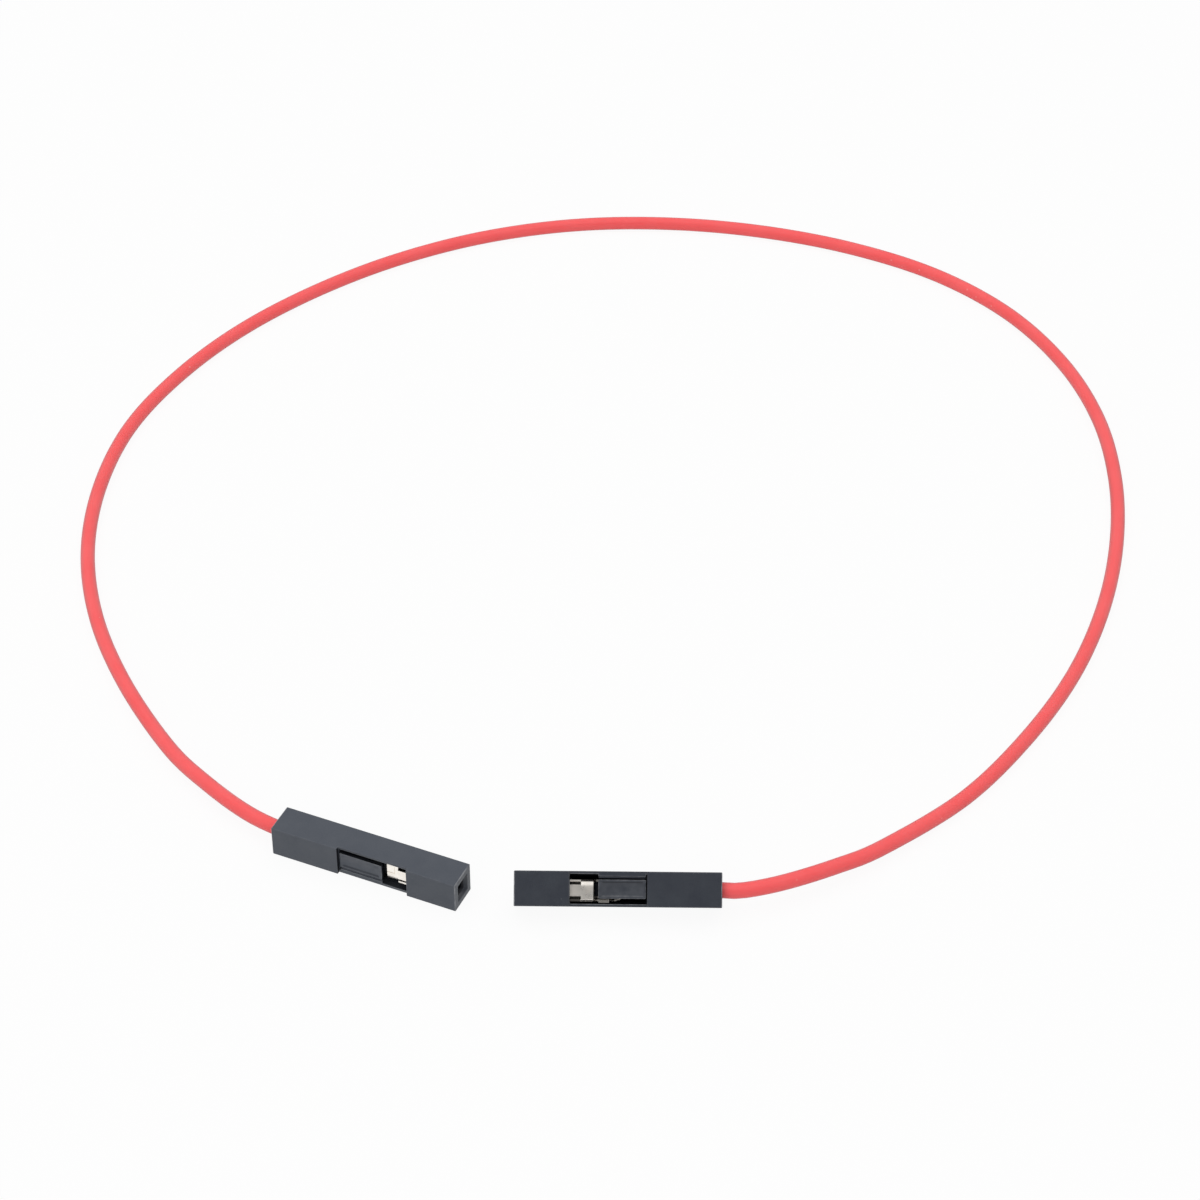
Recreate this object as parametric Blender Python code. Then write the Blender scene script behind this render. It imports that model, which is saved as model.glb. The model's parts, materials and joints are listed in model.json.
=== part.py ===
"""Breadboard jumper wire: one insulated wire with a female crimp connector on each end.

Two moulded single-way housings lie close together, nose to nose. Each holds a folded
sheet-metal crimp terminal behind a springy latch tongue. One soft wire, a red jacket over
seven thin strands, runs from the back of one housing round a wide loop to the other.

Metres, +Z up. The origin is on the resting surface, under the middle of the two connectors.
Each connector has a frame of its own: the origin where the wire leaves it, +X along the axis
towards the mating nose, and +Z out of the face that has the latch window.
"""

import math

import bmesh
import bpy
import numpy as np
from mathutils import Matrix, Vector

MM = 0.001

# Wire
WIRE_DIAMETER = 1.12 * MM
STRAND_DIAMETER = 0.127 * MM
STRAND_GAP = 0.010 * MM
OUTER_STRANDS = 6
BORE_CLEARANCE = 0.012 * MM
RESTING_GAP = 0.02 * MM
POINT_SPACING = 3.25 * MM

# Terminal, folded from one strip of sheet
SHEET = 0.15 * MM
GRIP_CLEARANCE = 0.03 * MM
STRAND_CLEARANCE = 0.02 * MM
BOX_WIDTH = 1.51 * MM
BOX_HEIGHT = 1.265 * MM
STRAP_LENGTH = 0.85 * MM
FRONT_STRAP_LENGTH = 0.45 * MM
BEAM_WIDTH = 0.80 * MM
BEAM_THICKNESS = 0.13 * MM
BEAM_DIP = 0.125 * MM
BEAM_TIP_GAP = 0.20 * MM
SIDE_DROP = 0.04 * MM
RIB_LENGTH = 1.2 * MM
RIB_WIDTH = 0.50 * MM
RIB_HEIGHT = 0.23 * MM
RIB_SETBACK = 0.90 * MM
TRANSITION_LENGTH = 2.8 * MM
FLARE_LENGTH = 1.35 * MM
FLARE_SIDE = 0.44 * MM
RISE_LENGTH = 0.45 * MM
WIRE_BARREL_LENGTH = 2.0 * MM
BARREL_SPACING = 0.8 * MM
INSULATION_BARREL_LENGTH = 1.8 * MM
JACKET_PROUD = 0.35 * MM
STRANDS_PROUD = 0.40 * MM
EDGE_SLANT = 0.05 * MM
OPEN_ANGLE = 78.0
CLOSED_ANGLE = 173.0

# Housing, measured back from its mating face
HOUSING_LENGTH = 14.35 * MM
SIDE_WALL = 0.42 * MM
FRONT_WALL = 0.90 * MM
EDGE_BEVEL = 0.07 * MM
MOUTH_WIDTH = 1.05 * MM
MOUTH_LEAD_IN = 0.22 * MM
CHANNEL_START = 3.80 * MM
CHANNEL_END = 9.05 * MM
CHANNEL_DEPTH = 0.25 * MM
WINDOW_START = 3.85 * MM
WINDOW_WIDTH = 2.06 * MM
WINDOW_SINK = 0.25 * MM
TONGUE_ROOT = 9.00 * MM
TONGUE_TIP = 5.82 * MM
TONGUE_WIDTH = 1.32 * MM
TONGUE_THICKNESS = 0.41 * MM
CATCH_LENGTH = 1.0 * MM
CATCH_WIDTH = 0.96 * MM
CATCH_FLAT = 0.25 * MM
CATCH_HEEL = 0.03 * MM
CATCH_DROP = 0.32 * MM
CATCH_SETBACK = 0.03 * MM
CATCH_GAP = 0.35 * MM

# Fits between terminal and housing
CAVITY_CLEARANCE = 0.05 * MM
STOP_CLEARANCE = 0.10 * MM

# Where each connector lies: the wire's exit, the nose's heading and the roll about the nose,
# and the stretch of its axis on which the wire is last straight before its free run
CONNECTORS = {
    "a": {
        "exit": (-15.306 * MM, 3.571 * MM),
        "heading": -23.9,
        "roll": 90.0,
        "straight": (1.5 * MM, 1.0 * MM),
    },
    "b": {
        "exit": (15.752 * MM, -2.961 * MM),
        "heading": 179.2,
        "roll": -45.9,
        "straight": (0.15 * MM, -1.45 * MM),
    },
}

# The wire's way over the surface from connector b round to connector a, in millimetres:
# x, y, and how far it is still lifted off the surface
ROUTE = (
    (20.09, -2.09, 1.03),
    (23.79, -0.19, 0.72),
    (27.29, 2.11, 0.38),
    (33.49, 7.51, 0.05),
    (38.59, 14.01, 0.0),
    (42.79, 21.11, 0.0),
    (45.89, 28.81, 0.0),
    (47.89, 36.81, 0.0),
    (48.79, 45.01, 0.0),
    (48.39, 53.31, 0.0),
    (46.29, 61.31, 0.0),
    (42.39, 68.61, 0.0),
    (36.69, 74.51, 0.0),
    (29.59, 78.71, 0.0),
    (21.79, 81.41, 0.0),
    (13.59, 82.71, 0.0),
    (5.29, 82.51, 0.0),
    (-2.71, 80.61, 0.0),
    (-10.21, 77.11, 0.0),
    (-16.91, 72.41, 0.0),
    (-22.91, 66.61, 0.0),
    (-27.71, 59.91, 0.0),
    (-31.21, 52.41, 0.0),
    (-32.81, 44.31, 0.0),
    (-32.81, 36.01, 0.0),
    (-31.21, 27.91, 0.0),
    (-28.21, 20.21, 0.02),
    (-24.21, 12.94, 0.14),
    (-21.01, 8.82, 0.32),
    (-17.56, 5.27, 0.55),
)

# Sizes that follow from the ones above
WIRE_RADIUS = WIRE_DIAMETER / 2
STRAND_PITCH = STRAND_DIAMETER + STRAND_GAP
BUNDLE_RADIUS = STRAND_PITCH + STRAND_DIAMETER / 2
JACKET_SIDES = 8
JACKET_WALL = WIRE_RADIUS * math.cos(math.pi / JACKET_SIDES) - BUNDLE_RADIUS - BORE_CLEARANCE
GRIP_RADIUS = WIRE_RADIUS + GRIP_CLEARANCE + SHEET / 2
CRIMP_RADIUS = BUNDLE_RADIUS + STRAND_CLEARANCE + SHEET / 2
BARREL_RADIUS = GRIP_RADIUS + SHEET / 2
BOX_TOP = BOX_HEIGHT - BARREL_RADIUS
CAVITY_HALF_WIDTH = max(BOX_WIDTH / 2, BARREL_RADIUS) + CAVITY_CLEARANCE
HALF_WIDTH = CAVITY_HALF_WIDTH + SIDE_WALL
CAVITY_FLOOR = -BARREL_RADIUS - CAVITY_CLEARANCE
CAVITY_TOP = BOX_TOP + CAVITY_CLEARANCE
REAR_CAVITY_TOP = BARREL_RADIUS + CAVITY_CLEARANCE
TONGUE_FACE = CAVITY_TOP + TONGUE_THICKNESS
CHANNEL_FLOOR = HALF_WIDTH - CHANNEL_DEPTH

# Stations along a connector, from the wire's exit towards the nose
CHANNEL_REAR = HOUSING_LENGTH - CHANNEL_END
CHANNEL_FRONT = HOUSING_LENGTH - CHANNEL_START
ROOT_X = HOUSING_LENGTH - TONGUE_ROOT
TIP_X = HOUSING_LENGTH - TONGUE_TIP
STOP_X = HOUSING_LENGTH - FRONT_WALL
BOX_FRONT = STOP_X - STOP_CLEARANCE
BOX_REAR = TIP_X + CATCH_GAP
WIRE_BARREL_FRONT = BOX_REAR - TRANSITION_LENGTH
WIRE_BARREL_REAR = WIRE_BARREL_FRONT - WIRE_BARREL_LENGTH
INSULATION_BARREL_FRONT = WIRE_BARREL_REAR - BARREL_SPACING
INSULATION_BARREL_REAR = INSULATION_BARREL_FRONT - INSULATION_BARREL_LENGTH
JACKET_END = INSULATION_BARREL_FRONT + JACKET_PROUD
STRAND_END = WIRE_BARREL_FRONT + STRANDS_PROUD

# How far a cutter runs past the surface that it cuts, and how deep an added form is let in
OVERCUT = 0.5 * MM
LET_IN = 0.01 * MM


def clear_scene():
    for obj in list(bpy.data.objects):
        bpy.data.objects.remove(obj, do_unlink=True)


def make_material(name, color, roughness, metallic=0.0):
    material = bpy.data.materials.new(name)
    material.use_nodes = True
    shader = material.node_tree.nodes["Principled BSDF"]
    shader.inputs["Base Color"].default_value = (*color, 1.0)
    shader.inputs["Roughness"].default_value = roughness
    shader.inputs["Metallic"].default_value = metallic
    material.diffuse_color = (*color, 1.0)
    return material


# Mesh helpers


def add_object(name, mesh):
    obj = bpy.data.objects.new(name, mesh)
    bpy.context.scene.collection.objects.link(obj)
    return obj


def mesh_from_rings(name, rings):
    """A closed body lofted through rings that have the same number of points."""
    bm = bmesh.new()
    loops = [[bm.verts.new(point) for point in ring] for ring in rings]
    count = len(loops[0])
    for first, second in zip(loops, loops[1:]):
        for i in range(count):
            j = (i + 1) % count
            bm.faces.new((first[i], first[j], second[j], second[i]))
    bm.faces.new(loops[0])
    bm.faces.new(loops[-1])
    bmesh.ops.recalc_face_normals(bm, faces=bm.faces)
    mesh = bpy.data.meshes.new(name)
    bm.to_mesh(mesh)
    bm.free()
    return mesh


def prism(name, outline, axis, low, high):
    """An outline drawn in the two other axes, extruded along the given one."""
    order = {"x": (1, 2, 0), "y": (0, 2, 1), "z": (0, 1, 2)}[axis]

    def place(point, height):
        values = [0.0, 0.0, 0.0]
        values[order[0]], values[order[1]], values[order[2]] = point[0], point[1], height
        return values

    rings = [[place(point, height) for point in outline] for height in (low, high)]
    return mesh_from_rings(name, rings)


def rectangle(low_u, high_u, low_v, high_v):
    return [(low_u, low_v), (high_u, low_v), (high_u, high_v), (low_u, high_v)]


def square_ring(x, half):
    return [(x, -half, -half), (x, half, -half), (x, half, half), (x, -half, half)]


def add_boolean(obj, operation, other):
    modifier = obj.modifiers.new(other.name, "BOOLEAN")
    modifier.operation = operation
    modifier.object = other
    modifier.solver = "EXACT"


def add_helper(name, mesh):
    """A cutter or an added form that only feeds a Boolean."""
    obj = add_object(name, mesh)
    obj.hide_render = True
    obj.display_type = "WIRE"
    return obj


def finished_mesh(obj, helpers, name):
    """The object's evaluated mesh under its own name, with the object and its helpers removed."""
    bpy.context.view_layer.update()
    graph = bpy.context.evaluated_depsgraph_get()
    mesh = bpy.data.meshes.new_from_object(obj.evaluated_get(graph))
    mesh.name = name
    for helper in [obj, *helpers]:
        bpy.data.objects.remove(helper, do_unlink=True)
    return mesh


# Housing


def cavity_cutter():
    """The terminal's pocket: tall behind the latch for the crimps, lower ahead of it for the box."""
    outline = [
        (-OVERCUT, CAVITY_FLOOR),
        (STOP_X, CAVITY_FLOOR),
        (STOP_X, CAVITY_TOP),
        (CHANNEL_REAR, CAVITY_TOP),
        (CHANNEL_REAR - (REAR_CAVITY_TOP - CAVITY_TOP), REAR_CAVITY_TOP),
        (-OVERCUT, REAR_CAVITY_TOP),
    ]
    mesh = prism("cavity_cutter", outline, "y", -CAVITY_HALF_WIDTH, CAVITY_HALF_WIDTH)
    return add_helper("cavity_cutter", mesh)


def mouth_cutter():
    """The square pin entry through the nose, with its lead-in."""
    half = MOUTH_WIDTH / 2
    rings = [
        square_ring(STOP_X - OVERCUT, half),
        square_ring(HOUSING_LENGTH - MOUTH_LEAD_IN, half),
        square_ring(HOUSING_LENGTH + OVERCUT, half + MOUTH_LEAD_IN + OVERCUT),
    ]
    return add_helper("mouth_cutter", mesh_from_rings("mouth_cutter", rings))


def channel_cutter():
    """The shallow channel across the window face, which leaves the tongue's face a little proud."""
    side = HALF_WIDTH + OVERCUT
    top = HALF_WIDTH + OVERCUT
    half = TONGUE_WIDTH / 2
    outline = [
        (-side, CHANNEL_FLOOR),
        (-half, CHANNEL_FLOOR),
        (-half, TONGUE_FACE),
        (half, TONGUE_FACE),
        (half, CHANNEL_FLOOR),
        (side, CHANNEL_FLOOR),
        (side, top),
        (-side, top),
    ]
    mesh = prism("channel_cutter", outline, "x", CHANNEL_REAR, CHANNEL_FRONT)
    return add_helper("channel_cutter", mesh)


def window_cutter():
    """The window ahead of the tongue and the slot down each side of it, in one U."""
    front = HOUSING_LENGTH - WINDOW_START
    wide = WINDOW_WIDTH / 2
    half = TONGUE_WIDTH / 2
    outline = [
        (ROOT_X, -wide),
        (front, -wide),
        (front, wide),
        (ROOT_X, wide),
        (ROOT_X, half),
        (TIP_X, half),
        (TIP_X, -half),
        (ROOT_X, -half),
    ]
    mesh = prism("window_cutter", outline, "z", CAVITY_TOP - WINDOW_SINK, HALF_WIDTH + OVERCUT)
    return add_helper("window_cutter", mesh)


def catch_form():
    """The wedge under the tongue's free end that stops the terminal from pulling out."""
    front = TIP_X - CATCH_SETBACK
    rear = front - CATCH_LENGTH
    outline = [
        (rear, CAVITY_TOP + LET_IN),
        (rear, CAVITY_TOP - CATCH_HEEL),
        (front - CATCH_FLAT, CAVITY_TOP - CATCH_DROP),
        (front, CAVITY_TOP - CATCH_DROP),
        (front, CAVITY_TOP + LET_IN),
    ]
    mesh = prism("catch_form", outline, "y", -CATCH_WIDTH / 2, CATCH_WIDTH / 2)
    return add_helper("catch_form", mesh)


def make_housing_mesh():
    """The moulded housing: a square bar with its pocket, mouth, window and latch tongue."""
    section = rectangle(-HALF_WIDTH, HALF_WIDTH, -HALF_WIDTH, HALF_WIDTH)
    body = add_object("housing_form", prism("housing_form", section, "x", 0.0, HOUSING_LENGTH))
    bevel = body.modifiers.new("edges", "BEVEL")
    bevel.width = EDGE_BEVEL
    bevel.segments = 2
    bevel.limit_method = "ANGLE"
    cutters = [cavity_cutter(), mouth_cutter(), channel_cutter(), window_cutter()]
    for cutter in cutters:
        add_boolean(body, "DIFFERENCE", cutter)
    catch = catch_form()
    add_boolean(body, "UNION", catch)
    return finished_mesh(body, [*cutters, catch], "housing")


# Terminal


def arc_section(radius, half_angle):
    """The sheet's middle line as part of a circle, from one free edge under the wire to the other."""
    angles = [half_angle * k / 6 for k in range(-6, 7)]
    return [(radius * math.sin(a), -radius * math.cos(a)) for a in angles]


def trough_section(height):
    """The sheet's middle line as a square trough whose sides reach the given height."""
    half = BOX_WIDTH / 2 - SHEET / 2
    floor = -GRIP_RADIUS
    side = [(half, floor + (height - floor) * step / 4) for step in range(1, 5)]
    right = [(0.0, floor), (half / 2, floor), (half, floor), *side]
    return [(-u, v) for u, v in right[:0:-1]] + right


def thickened(line, thickness):
    """A closed outline at half the thickness to each side of an open line."""
    points = [Vector(point) for point in line]
    sides = [(b - a).normalized() for a, b in zip(points, points[1:])]
    normals = [Vector((side.y, -side.x)) for side in sides]
    outer, inner = [], []
    for i, point in enumerate(points):
        before = normals[max(i - 1, 0)]
        after = normals[min(i, len(normals) - 1)]
        mitre = (before + after).normalized()
        offset = mitre * (thickness / 2 / mitre.dot(after))
        outer.append(point + offset)
        inner.append(point - offset)
    return outer + inner[::-1]


def terminal_stations():
    """The sheet's middle line at each station, from the insulation barrel to the box's nose."""
    wide = math.radians(OPEN_ANGLE)
    shut = math.radians(CLOSED_ANGLE)
    slanting = [(k / 4, wide + (shut - wide) * (k + 1) / 4) for k in range(4)]
    stations = []

    def barrel(radius, rear, front):
        """A closed barrel whose ends run out over the slant of the cut sheet."""
        for share, angle in slanting:
            stations.append((rear + EDGE_SLANT * share, arc_section(radius, angle)))
        for share, angle in reversed(slanting):
            stations.append((front - EDGE_SLANT * share, arc_section(radius, angle)))

    barrel(GRIP_RADIUS, INSULATION_BARREL_REAR, INSULATION_BARREL_FRONT)
    stations.append((JACKET_END, arc_section(GRIP_RADIUS, wide)))
    stations.append((WIRE_BARREL_REAR - EDGE_SLANT, arc_section(CRIMP_RADIUS, wide)))
    barrel(CRIMP_RADIUS, WIRE_BARREL_REAR, WIRE_BARREL_FRONT)
    stations.append((WIRE_BARREL_FRONT + EDGE_SLANT, arc_section(CRIMP_RADIUS, wide)))
    flare = WIRE_BARREL_FRONT + FLARE_LENGTH
    stations.append((flare, trough_section(FLARE_SIDE - GRIP_RADIUS)))
    stations.append((flare + RISE_LENGTH, trough_section(BOX_TOP - SIDE_DROP)))
    stations.append((BOX_FRONT, trough_section(BOX_TOP - SIDE_DROP)))
    return stations


def strap_form(name, rear, front):
    """A strap of the sheet folded over the top of the box, from one side to the other."""
    half = BOX_WIDTH / 2 - LET_IN
    outline = rectangle(rear, front, -half, half)
    return add_helper(name, prism(name, outline, "z", BOX_TOP - SHEET, BOX_TOP))


# The contact beam's bends: how far along it, and how much of its dip it has there
BEAM_BENDS = ((0.0, 0.0), (0.38, 0.0), (0.66, 0.7), (0.78, 1.0), (0.88, 0.8), (1.0, 0.2))


def beam_form():
    """The contact beam: it leaves the strap level, dips to touch the pin and lifts at its tip."""
    rear = BOX_REAR + STRAP_LENGTH - SHEET
    tip = BOX_FRONT - FRONT_STRAP_LENGTH - BEAM_TIP_GAP
    top = BOX_TOP - LET_IN
    upper = [(rear + (tip - rear) * share, top - BEAM_DIP * dip) for share, dip in BEAM_BENDS]
    lower = [(x, z - BEAM_THICKNESS) for x, z in reversed(upper)]
    mesh = prism("beam_form", upper + lower, "y", -BEAM_WIDTH / 2, BEAM_WIDTH / 2)
    return add_helper("beam_form", mesh)


def rib_form():
    """The rib pressed up from the box's floor, which holds the pin against the beam."""
    floor = SHEET - BARREL_RADIUS
    front = BOX_FRONT - RIB_SETBACK
    rear = front - RIB_LENGTH
    outline = [
        (rear, floor - LET_IN),
        (front, floor - LET_IN),
        (front - RIB_HEIGHT, floor + RIB_HEIGHT),
        (rear + RIB_HEIGHT, floor + RIB_HEIGHT),
    ]
    half = RIB_WIDTH / 2
    return add_helper("rib_form", prism("rib_form", outline, "y", -half, half))


def make_terminal_mesh():
    """The crimp terminal: insulation barrel, wire barrel, transition and contact box."""
    rings = [
        [(x, point.x, point.y) for point in thickened(line, SHEET)]
        for x, line in terminal_stations()
    ]
    body = add_object("terminal_form", mesh_from_rings("terminal_form", rings))
    forms = [
        strap_form("rear_strap", BOX_REAR, BOX_REAR + STRAP_LENGTH),
        strap_form("front_strap", BOX_FRONT - FRONT_STRAP_LENGTH, BOX_FRONT - LET_IN),
        beam_form(),
        rib_form(),
    ]
    for form in forms:
        add_boolean(body, "UNION", form)
    return finished_mesh(body, forms, "terminal")


# Placing the connectors


def resting_height(roll):
    """How high the axis lies above the surface when the round-edged square bar is rolled over."""
    steep = abs(math.sin(math.radians(roll)))
    level = abs(math.cos(math.radians(roll)))
    return (steep + level) * (HALF_WIDTH - EDGE_BEVEL) + EDGE_BEVEL


def connector_matrix(spot):
    x, y = spot["exit"]
    place = Matrix.Translation((x, y, resting_height(spot["roll"])))
    turn = Matrix.Rotation(math.radians(spot["heading"]), 4, "Z")
    roll = Matrix.Rotation(math.radians(spot["roll"]), 4, "X")
    return place @ turn @ roll


def make_connector(end, meshes, materials):
    """One connector's empty, with its housing and its terminal on it."""
    frame = bpy.data.objects.new(f"connector_{end}", None)
    bpy.context.scene.collection.objects.link(frame)
    frame.matrix_world = connector_matrix(CONNECTORS[end])
    for piece in ("housing", "terminal"):
        mesh = meshes[piece]
        if not mesh.materials:
            mesh.materials.append(materials[piece])
        obj = add_object(f"{piece}_{end}", mesh)
        obj.parent = frame


# Wire


def smooth_curve(points, steps):
    """Points along a Catmull-Rom curve through the given ones, with this many steps to a span."""
    ends = [2 * points[0] - points[1], *points, 2 * points[-1] - points[-2]]
    curve = []
    for p0, p1, p2, p3 in zip(ends, ends[1:], ends[2:], ends[3:]):
        for t in (k / steps for k in range(steps)):
            bend = 2 * p0 - 5 * p1 + 4 * p2 - p3
            twist = 3 * p1 - p0 - 3 * p2 + p3
            curve.append(0.5 * (2 * p1 + t * (p2 - p0) + t**2 * bend + t**3 * twist))
    return np.array([*curve, points[-1]])


def evenly_spaced(curve, spacing):
    """The curve read again at equal steps of about the given length."""
    travel = np.concatenate([[0], np.cumsum(np.linalg.norm(np.diff(curve, axis=0), axis=1))])
    count = round(travel[-1] / spacing) + 1
    stops = np.linspace(0, travel[-1], count)
    return np.stack([np.interp(stops, travel, curve[:, k]) for k in range(3)], axis=1)


def axis_point(end, x):
    """A point on a connector's axis, as far from the wire's exit as x says."""
    return np.array(connector_matrix(CONNECTORS[end]) @ Vector((x, 0, 0)))


def wire_spine(reach):
    """The wire's middle line from inside connector b to inside connector a."""
    rest = WIRE_RADIUS + RESTING_GAP
    lying = [np.array((x * MM, y * MM, rest + lift * MM)) for x, y, lift in ROUTE]
    run = [axis_point("b", x) for x in CONNECTORS["b"]["straight"]]
    home = [axis_point("a", x) for x in reversed(CONNECTORS["a"]["straight"])]
    free = evenly_spaced(smooth_curve([*run, *lying, *home], 8), POINT_SPACING)
    return np.array([axis_point("b", reach), *free, axis_point("a", reach)])


def beside(spine, sideways, upwards):
    """The spine moved sideways and upwards across its own direction."""
    along = np.gradient(spine, axis=0)
    side = np.cross(along, (0.0, 0.0, 1.0))
    side /= np.linalg.norm(side, axis=1)[:, None]
    up = np.cross(side, along)
    up /= np.linalg.norm(up, axis=1)[:, None]
    return spine + sideways * side + upwards * up


def add_tube(name, points, diameter, resolution, material):
    """A curve object that follows the points with a round section."""
    data = bpy.data.curves.new(name, "CURVE")
    data.dimensions = "3D"
    data.bevel_depth = diameter / 2
    data.bevel_resolution = resolution
    data.use_fill_caps = True
    data.materials.append(material)
    spline = data.splines.new("POLY")
    spline.points.add(len(points) - 1)
    for target, point in zip(spline.points, points):
        target.co = (*point, 1.0)
    spline.use_smooth = True
    return add_object(name, data)


def make_jacket(material):
    """The red insulation: the cord's tube, with the bore that the strands fill."""
    jacket = add_tube("wire_jacket", wire_spine(JACKET_END), WIRE_DIAMETER, 2, material)
    jacket.data.use_fill_caps = False
    wall = jacket.modifiers.new("wall", "SOLIDIFY")
    wall.thickness = JACKET_WALL
    wall.offset = -1.0
    wall.use_even_offset = True
    wall.use_rim = True


def make_strands(material):
    """One strand in the middle and the others round it, bare at both ends of the jacket."""
    spine = wire_spine(STRAND_END)
    add_tube("strand_1", spine, STRAND_DIAMETER, 0, material)
    for k in range(OUTER_STRANDS):
        angle = 2 * math.pi * k / OUTER_STRANDS
        sideways = STRAND_PITCH * math.cos(angle)
        upwards = STRAND_PITCH * math.sin(angle)
        points = beside(spine, sideways, upwards)
        add_tube(f"strand_{k + 2}", points, STRAND_DIAMETER, 0, material)


def main():
    clear_scene()
    materials = {
        "housing": make_material("black_moulding", (0.035, 0.038, 0.045), 0.5),
        "terminal": make_material("tin_plate", (0.72, 0.69, 0.63), 0.3, 1.0),
        "jacket": make_material("red_insulation", (0.80, 0.06, 0.06), 0.4),
        "strand": make_material("tinned_copper", (0.75, 0.66, 0.58), 0.35, 1.0),
    }
    meshes = {"housing": make_housing_mesh(), "terminal": make_terminal_mesh()}
    for end in CONNECTORS:
        make_connector(end, meshes, materials)
    make_jacket(materials["jacket"])
    make_strands(materials["strand"])


main()
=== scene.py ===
"""The looks of a breadboard jumper lead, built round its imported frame.

A red insulated wire runs in a wide loop between two black single-way housings that lie nose to
nose. Each housing holds a tinned terminal folded from sheet, which shows in its latch window.

The frame and the wire are in metres. A connector's own shapes are drawn in millimetres in its
local frame: the origin where the wire leaves it, +X towards the nose and +Z out of the face
that has the window.
"""

import json
import logging
import math
from collections.abc import Callable
from dataclasses import dataclass, field
from enum import Enum

import bmesh
import bpy
import numpy as np
from mathutils import Matrix, Vector


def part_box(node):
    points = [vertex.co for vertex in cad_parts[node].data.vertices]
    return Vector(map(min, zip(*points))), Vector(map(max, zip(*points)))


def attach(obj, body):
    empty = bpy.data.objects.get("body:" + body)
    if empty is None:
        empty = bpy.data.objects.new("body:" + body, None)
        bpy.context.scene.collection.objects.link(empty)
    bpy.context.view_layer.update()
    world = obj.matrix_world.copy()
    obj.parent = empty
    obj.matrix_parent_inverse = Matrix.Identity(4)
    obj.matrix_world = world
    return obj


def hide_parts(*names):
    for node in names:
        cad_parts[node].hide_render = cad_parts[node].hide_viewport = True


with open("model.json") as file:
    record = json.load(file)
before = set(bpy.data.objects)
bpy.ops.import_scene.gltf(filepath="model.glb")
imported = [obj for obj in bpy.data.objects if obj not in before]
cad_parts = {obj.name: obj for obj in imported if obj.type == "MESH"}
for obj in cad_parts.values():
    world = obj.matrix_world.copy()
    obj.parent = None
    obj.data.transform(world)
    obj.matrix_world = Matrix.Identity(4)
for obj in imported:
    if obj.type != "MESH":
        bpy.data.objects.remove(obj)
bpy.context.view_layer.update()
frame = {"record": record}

MM = 0.001
BODY = "root"
# The attributes that the meshes carry for their materials
LOCAL_MM = "local_mm"
LAY_MM = "lay_mm"
# Painted highlight: how much pale colour a face gets where light would catch an edge or a slope
PAINTED_HIGHLIGHT_ATTRIBUTE = "painted_highlight"
# Painted shade: how much near-black colour a face gets for lying in a recess
PAINTED_SHADE_ATTRIBUTE = "painted_shade"
# How near counts as touching, in a connector's own millimetres
TOUCH = 0.001

log = logging.getLogger("jumper_lead")

Colour = tuple[float, float, float]
Point2 = tuple[float, float]
Point3 = tuple[float, float, float]
Station = tuple[float, list[Point2]]

# The wire's way over the surface from connector b round to connector a, in millimetres:
# x, y, and how far it is still lifted off the surface
ROUTE = (
    (20.09, -2.09, 1.03),
    (23.79, -0.19, 0.72),
    (27.29, 2.11, 0.38),
    (33.49, 7.51, 0.05),
    (38.59, 14.01, 0.0),
    (42.79, 21.11, 0.0),
    (45.89, 28.81, 0.0),
    (47.89, 36.81, 0.0),
    (48.79, 45.01, 0.0),
    (48.39, 53.31, 0.0),
    (46.29, 61.31, 0.0),
    (42.39, 68.61, 0.0),
    (36.69, 74.51, 0.0),
    (29.59, 78.71, 0.0),
    (21.79, 81.41, 0.0),
    (13.59, 82.71, 0.0),
    (5.29, 82.51, 0.0),
    (-2.71, 80.61, 0.0),
    (-10.21, 77.11, 0.0),
    (-16.91, 72.41, 0.0),
    (-22.91, 66.61, 0.0),
    (-27.71, 59.91, 0.0),
    (-31.21, 52.41, 0.0),
    (-32.81, 44.31, 0.0),
    (-32.81, 36.01, 0.0),
    (-31.21, 27.91, 0.0),
    (-28.21, 20.21, 0.02),
    (-24.21, 12.94, 0.14),
    (-21.01, 8.82, 0.32),
    (-17.56, 5.27, 0.55),
)


class End(Enum):
    """The two ends of the lead."""

    A = "a"
    B = "b"


class Rounding(Enum):
    """How far an edge of a moulding is rounded, in millimetres."""

    NONE = 0.0
    CUT = 0.045
    RIM = 0.05
    OUTER = 0.07


# Node helpers


def fill_inputs(node: bpy.types.Node, values: dict) -> None:
    """Fills a node's inputs.

    Args:
        node: The node.
        values: For an input's name or number, a value or an output socket to link to it.
    """
    for key, value in values.items():
        if isinstance(value, bpy.types.NodeSocket):
            node.id_data.links.new(value, node.inputs[key])
        else:
            node.inputs[key].default_value = value


def add_node(
    tree: bpy.types.NodeTree, kind: str, inputs: dict | None = None, **options: object
) -> bpy.types.Node:
    """Adds a node and fills its inputs.

    Args:
        tree: The tree that the node goes into.
        kind: Blender's name for the kind of node.
        inputs: For an input's name or number, a value or an output socket to link to it.
        **options: The node's own settings.

    Returns:
        The new node.
    """
    node = tree.nodes.new(kind)
    for name, value in options.items():
        setattr(node, name, value)
    fill_inputs(node, inputs or {})
    return node


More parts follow.
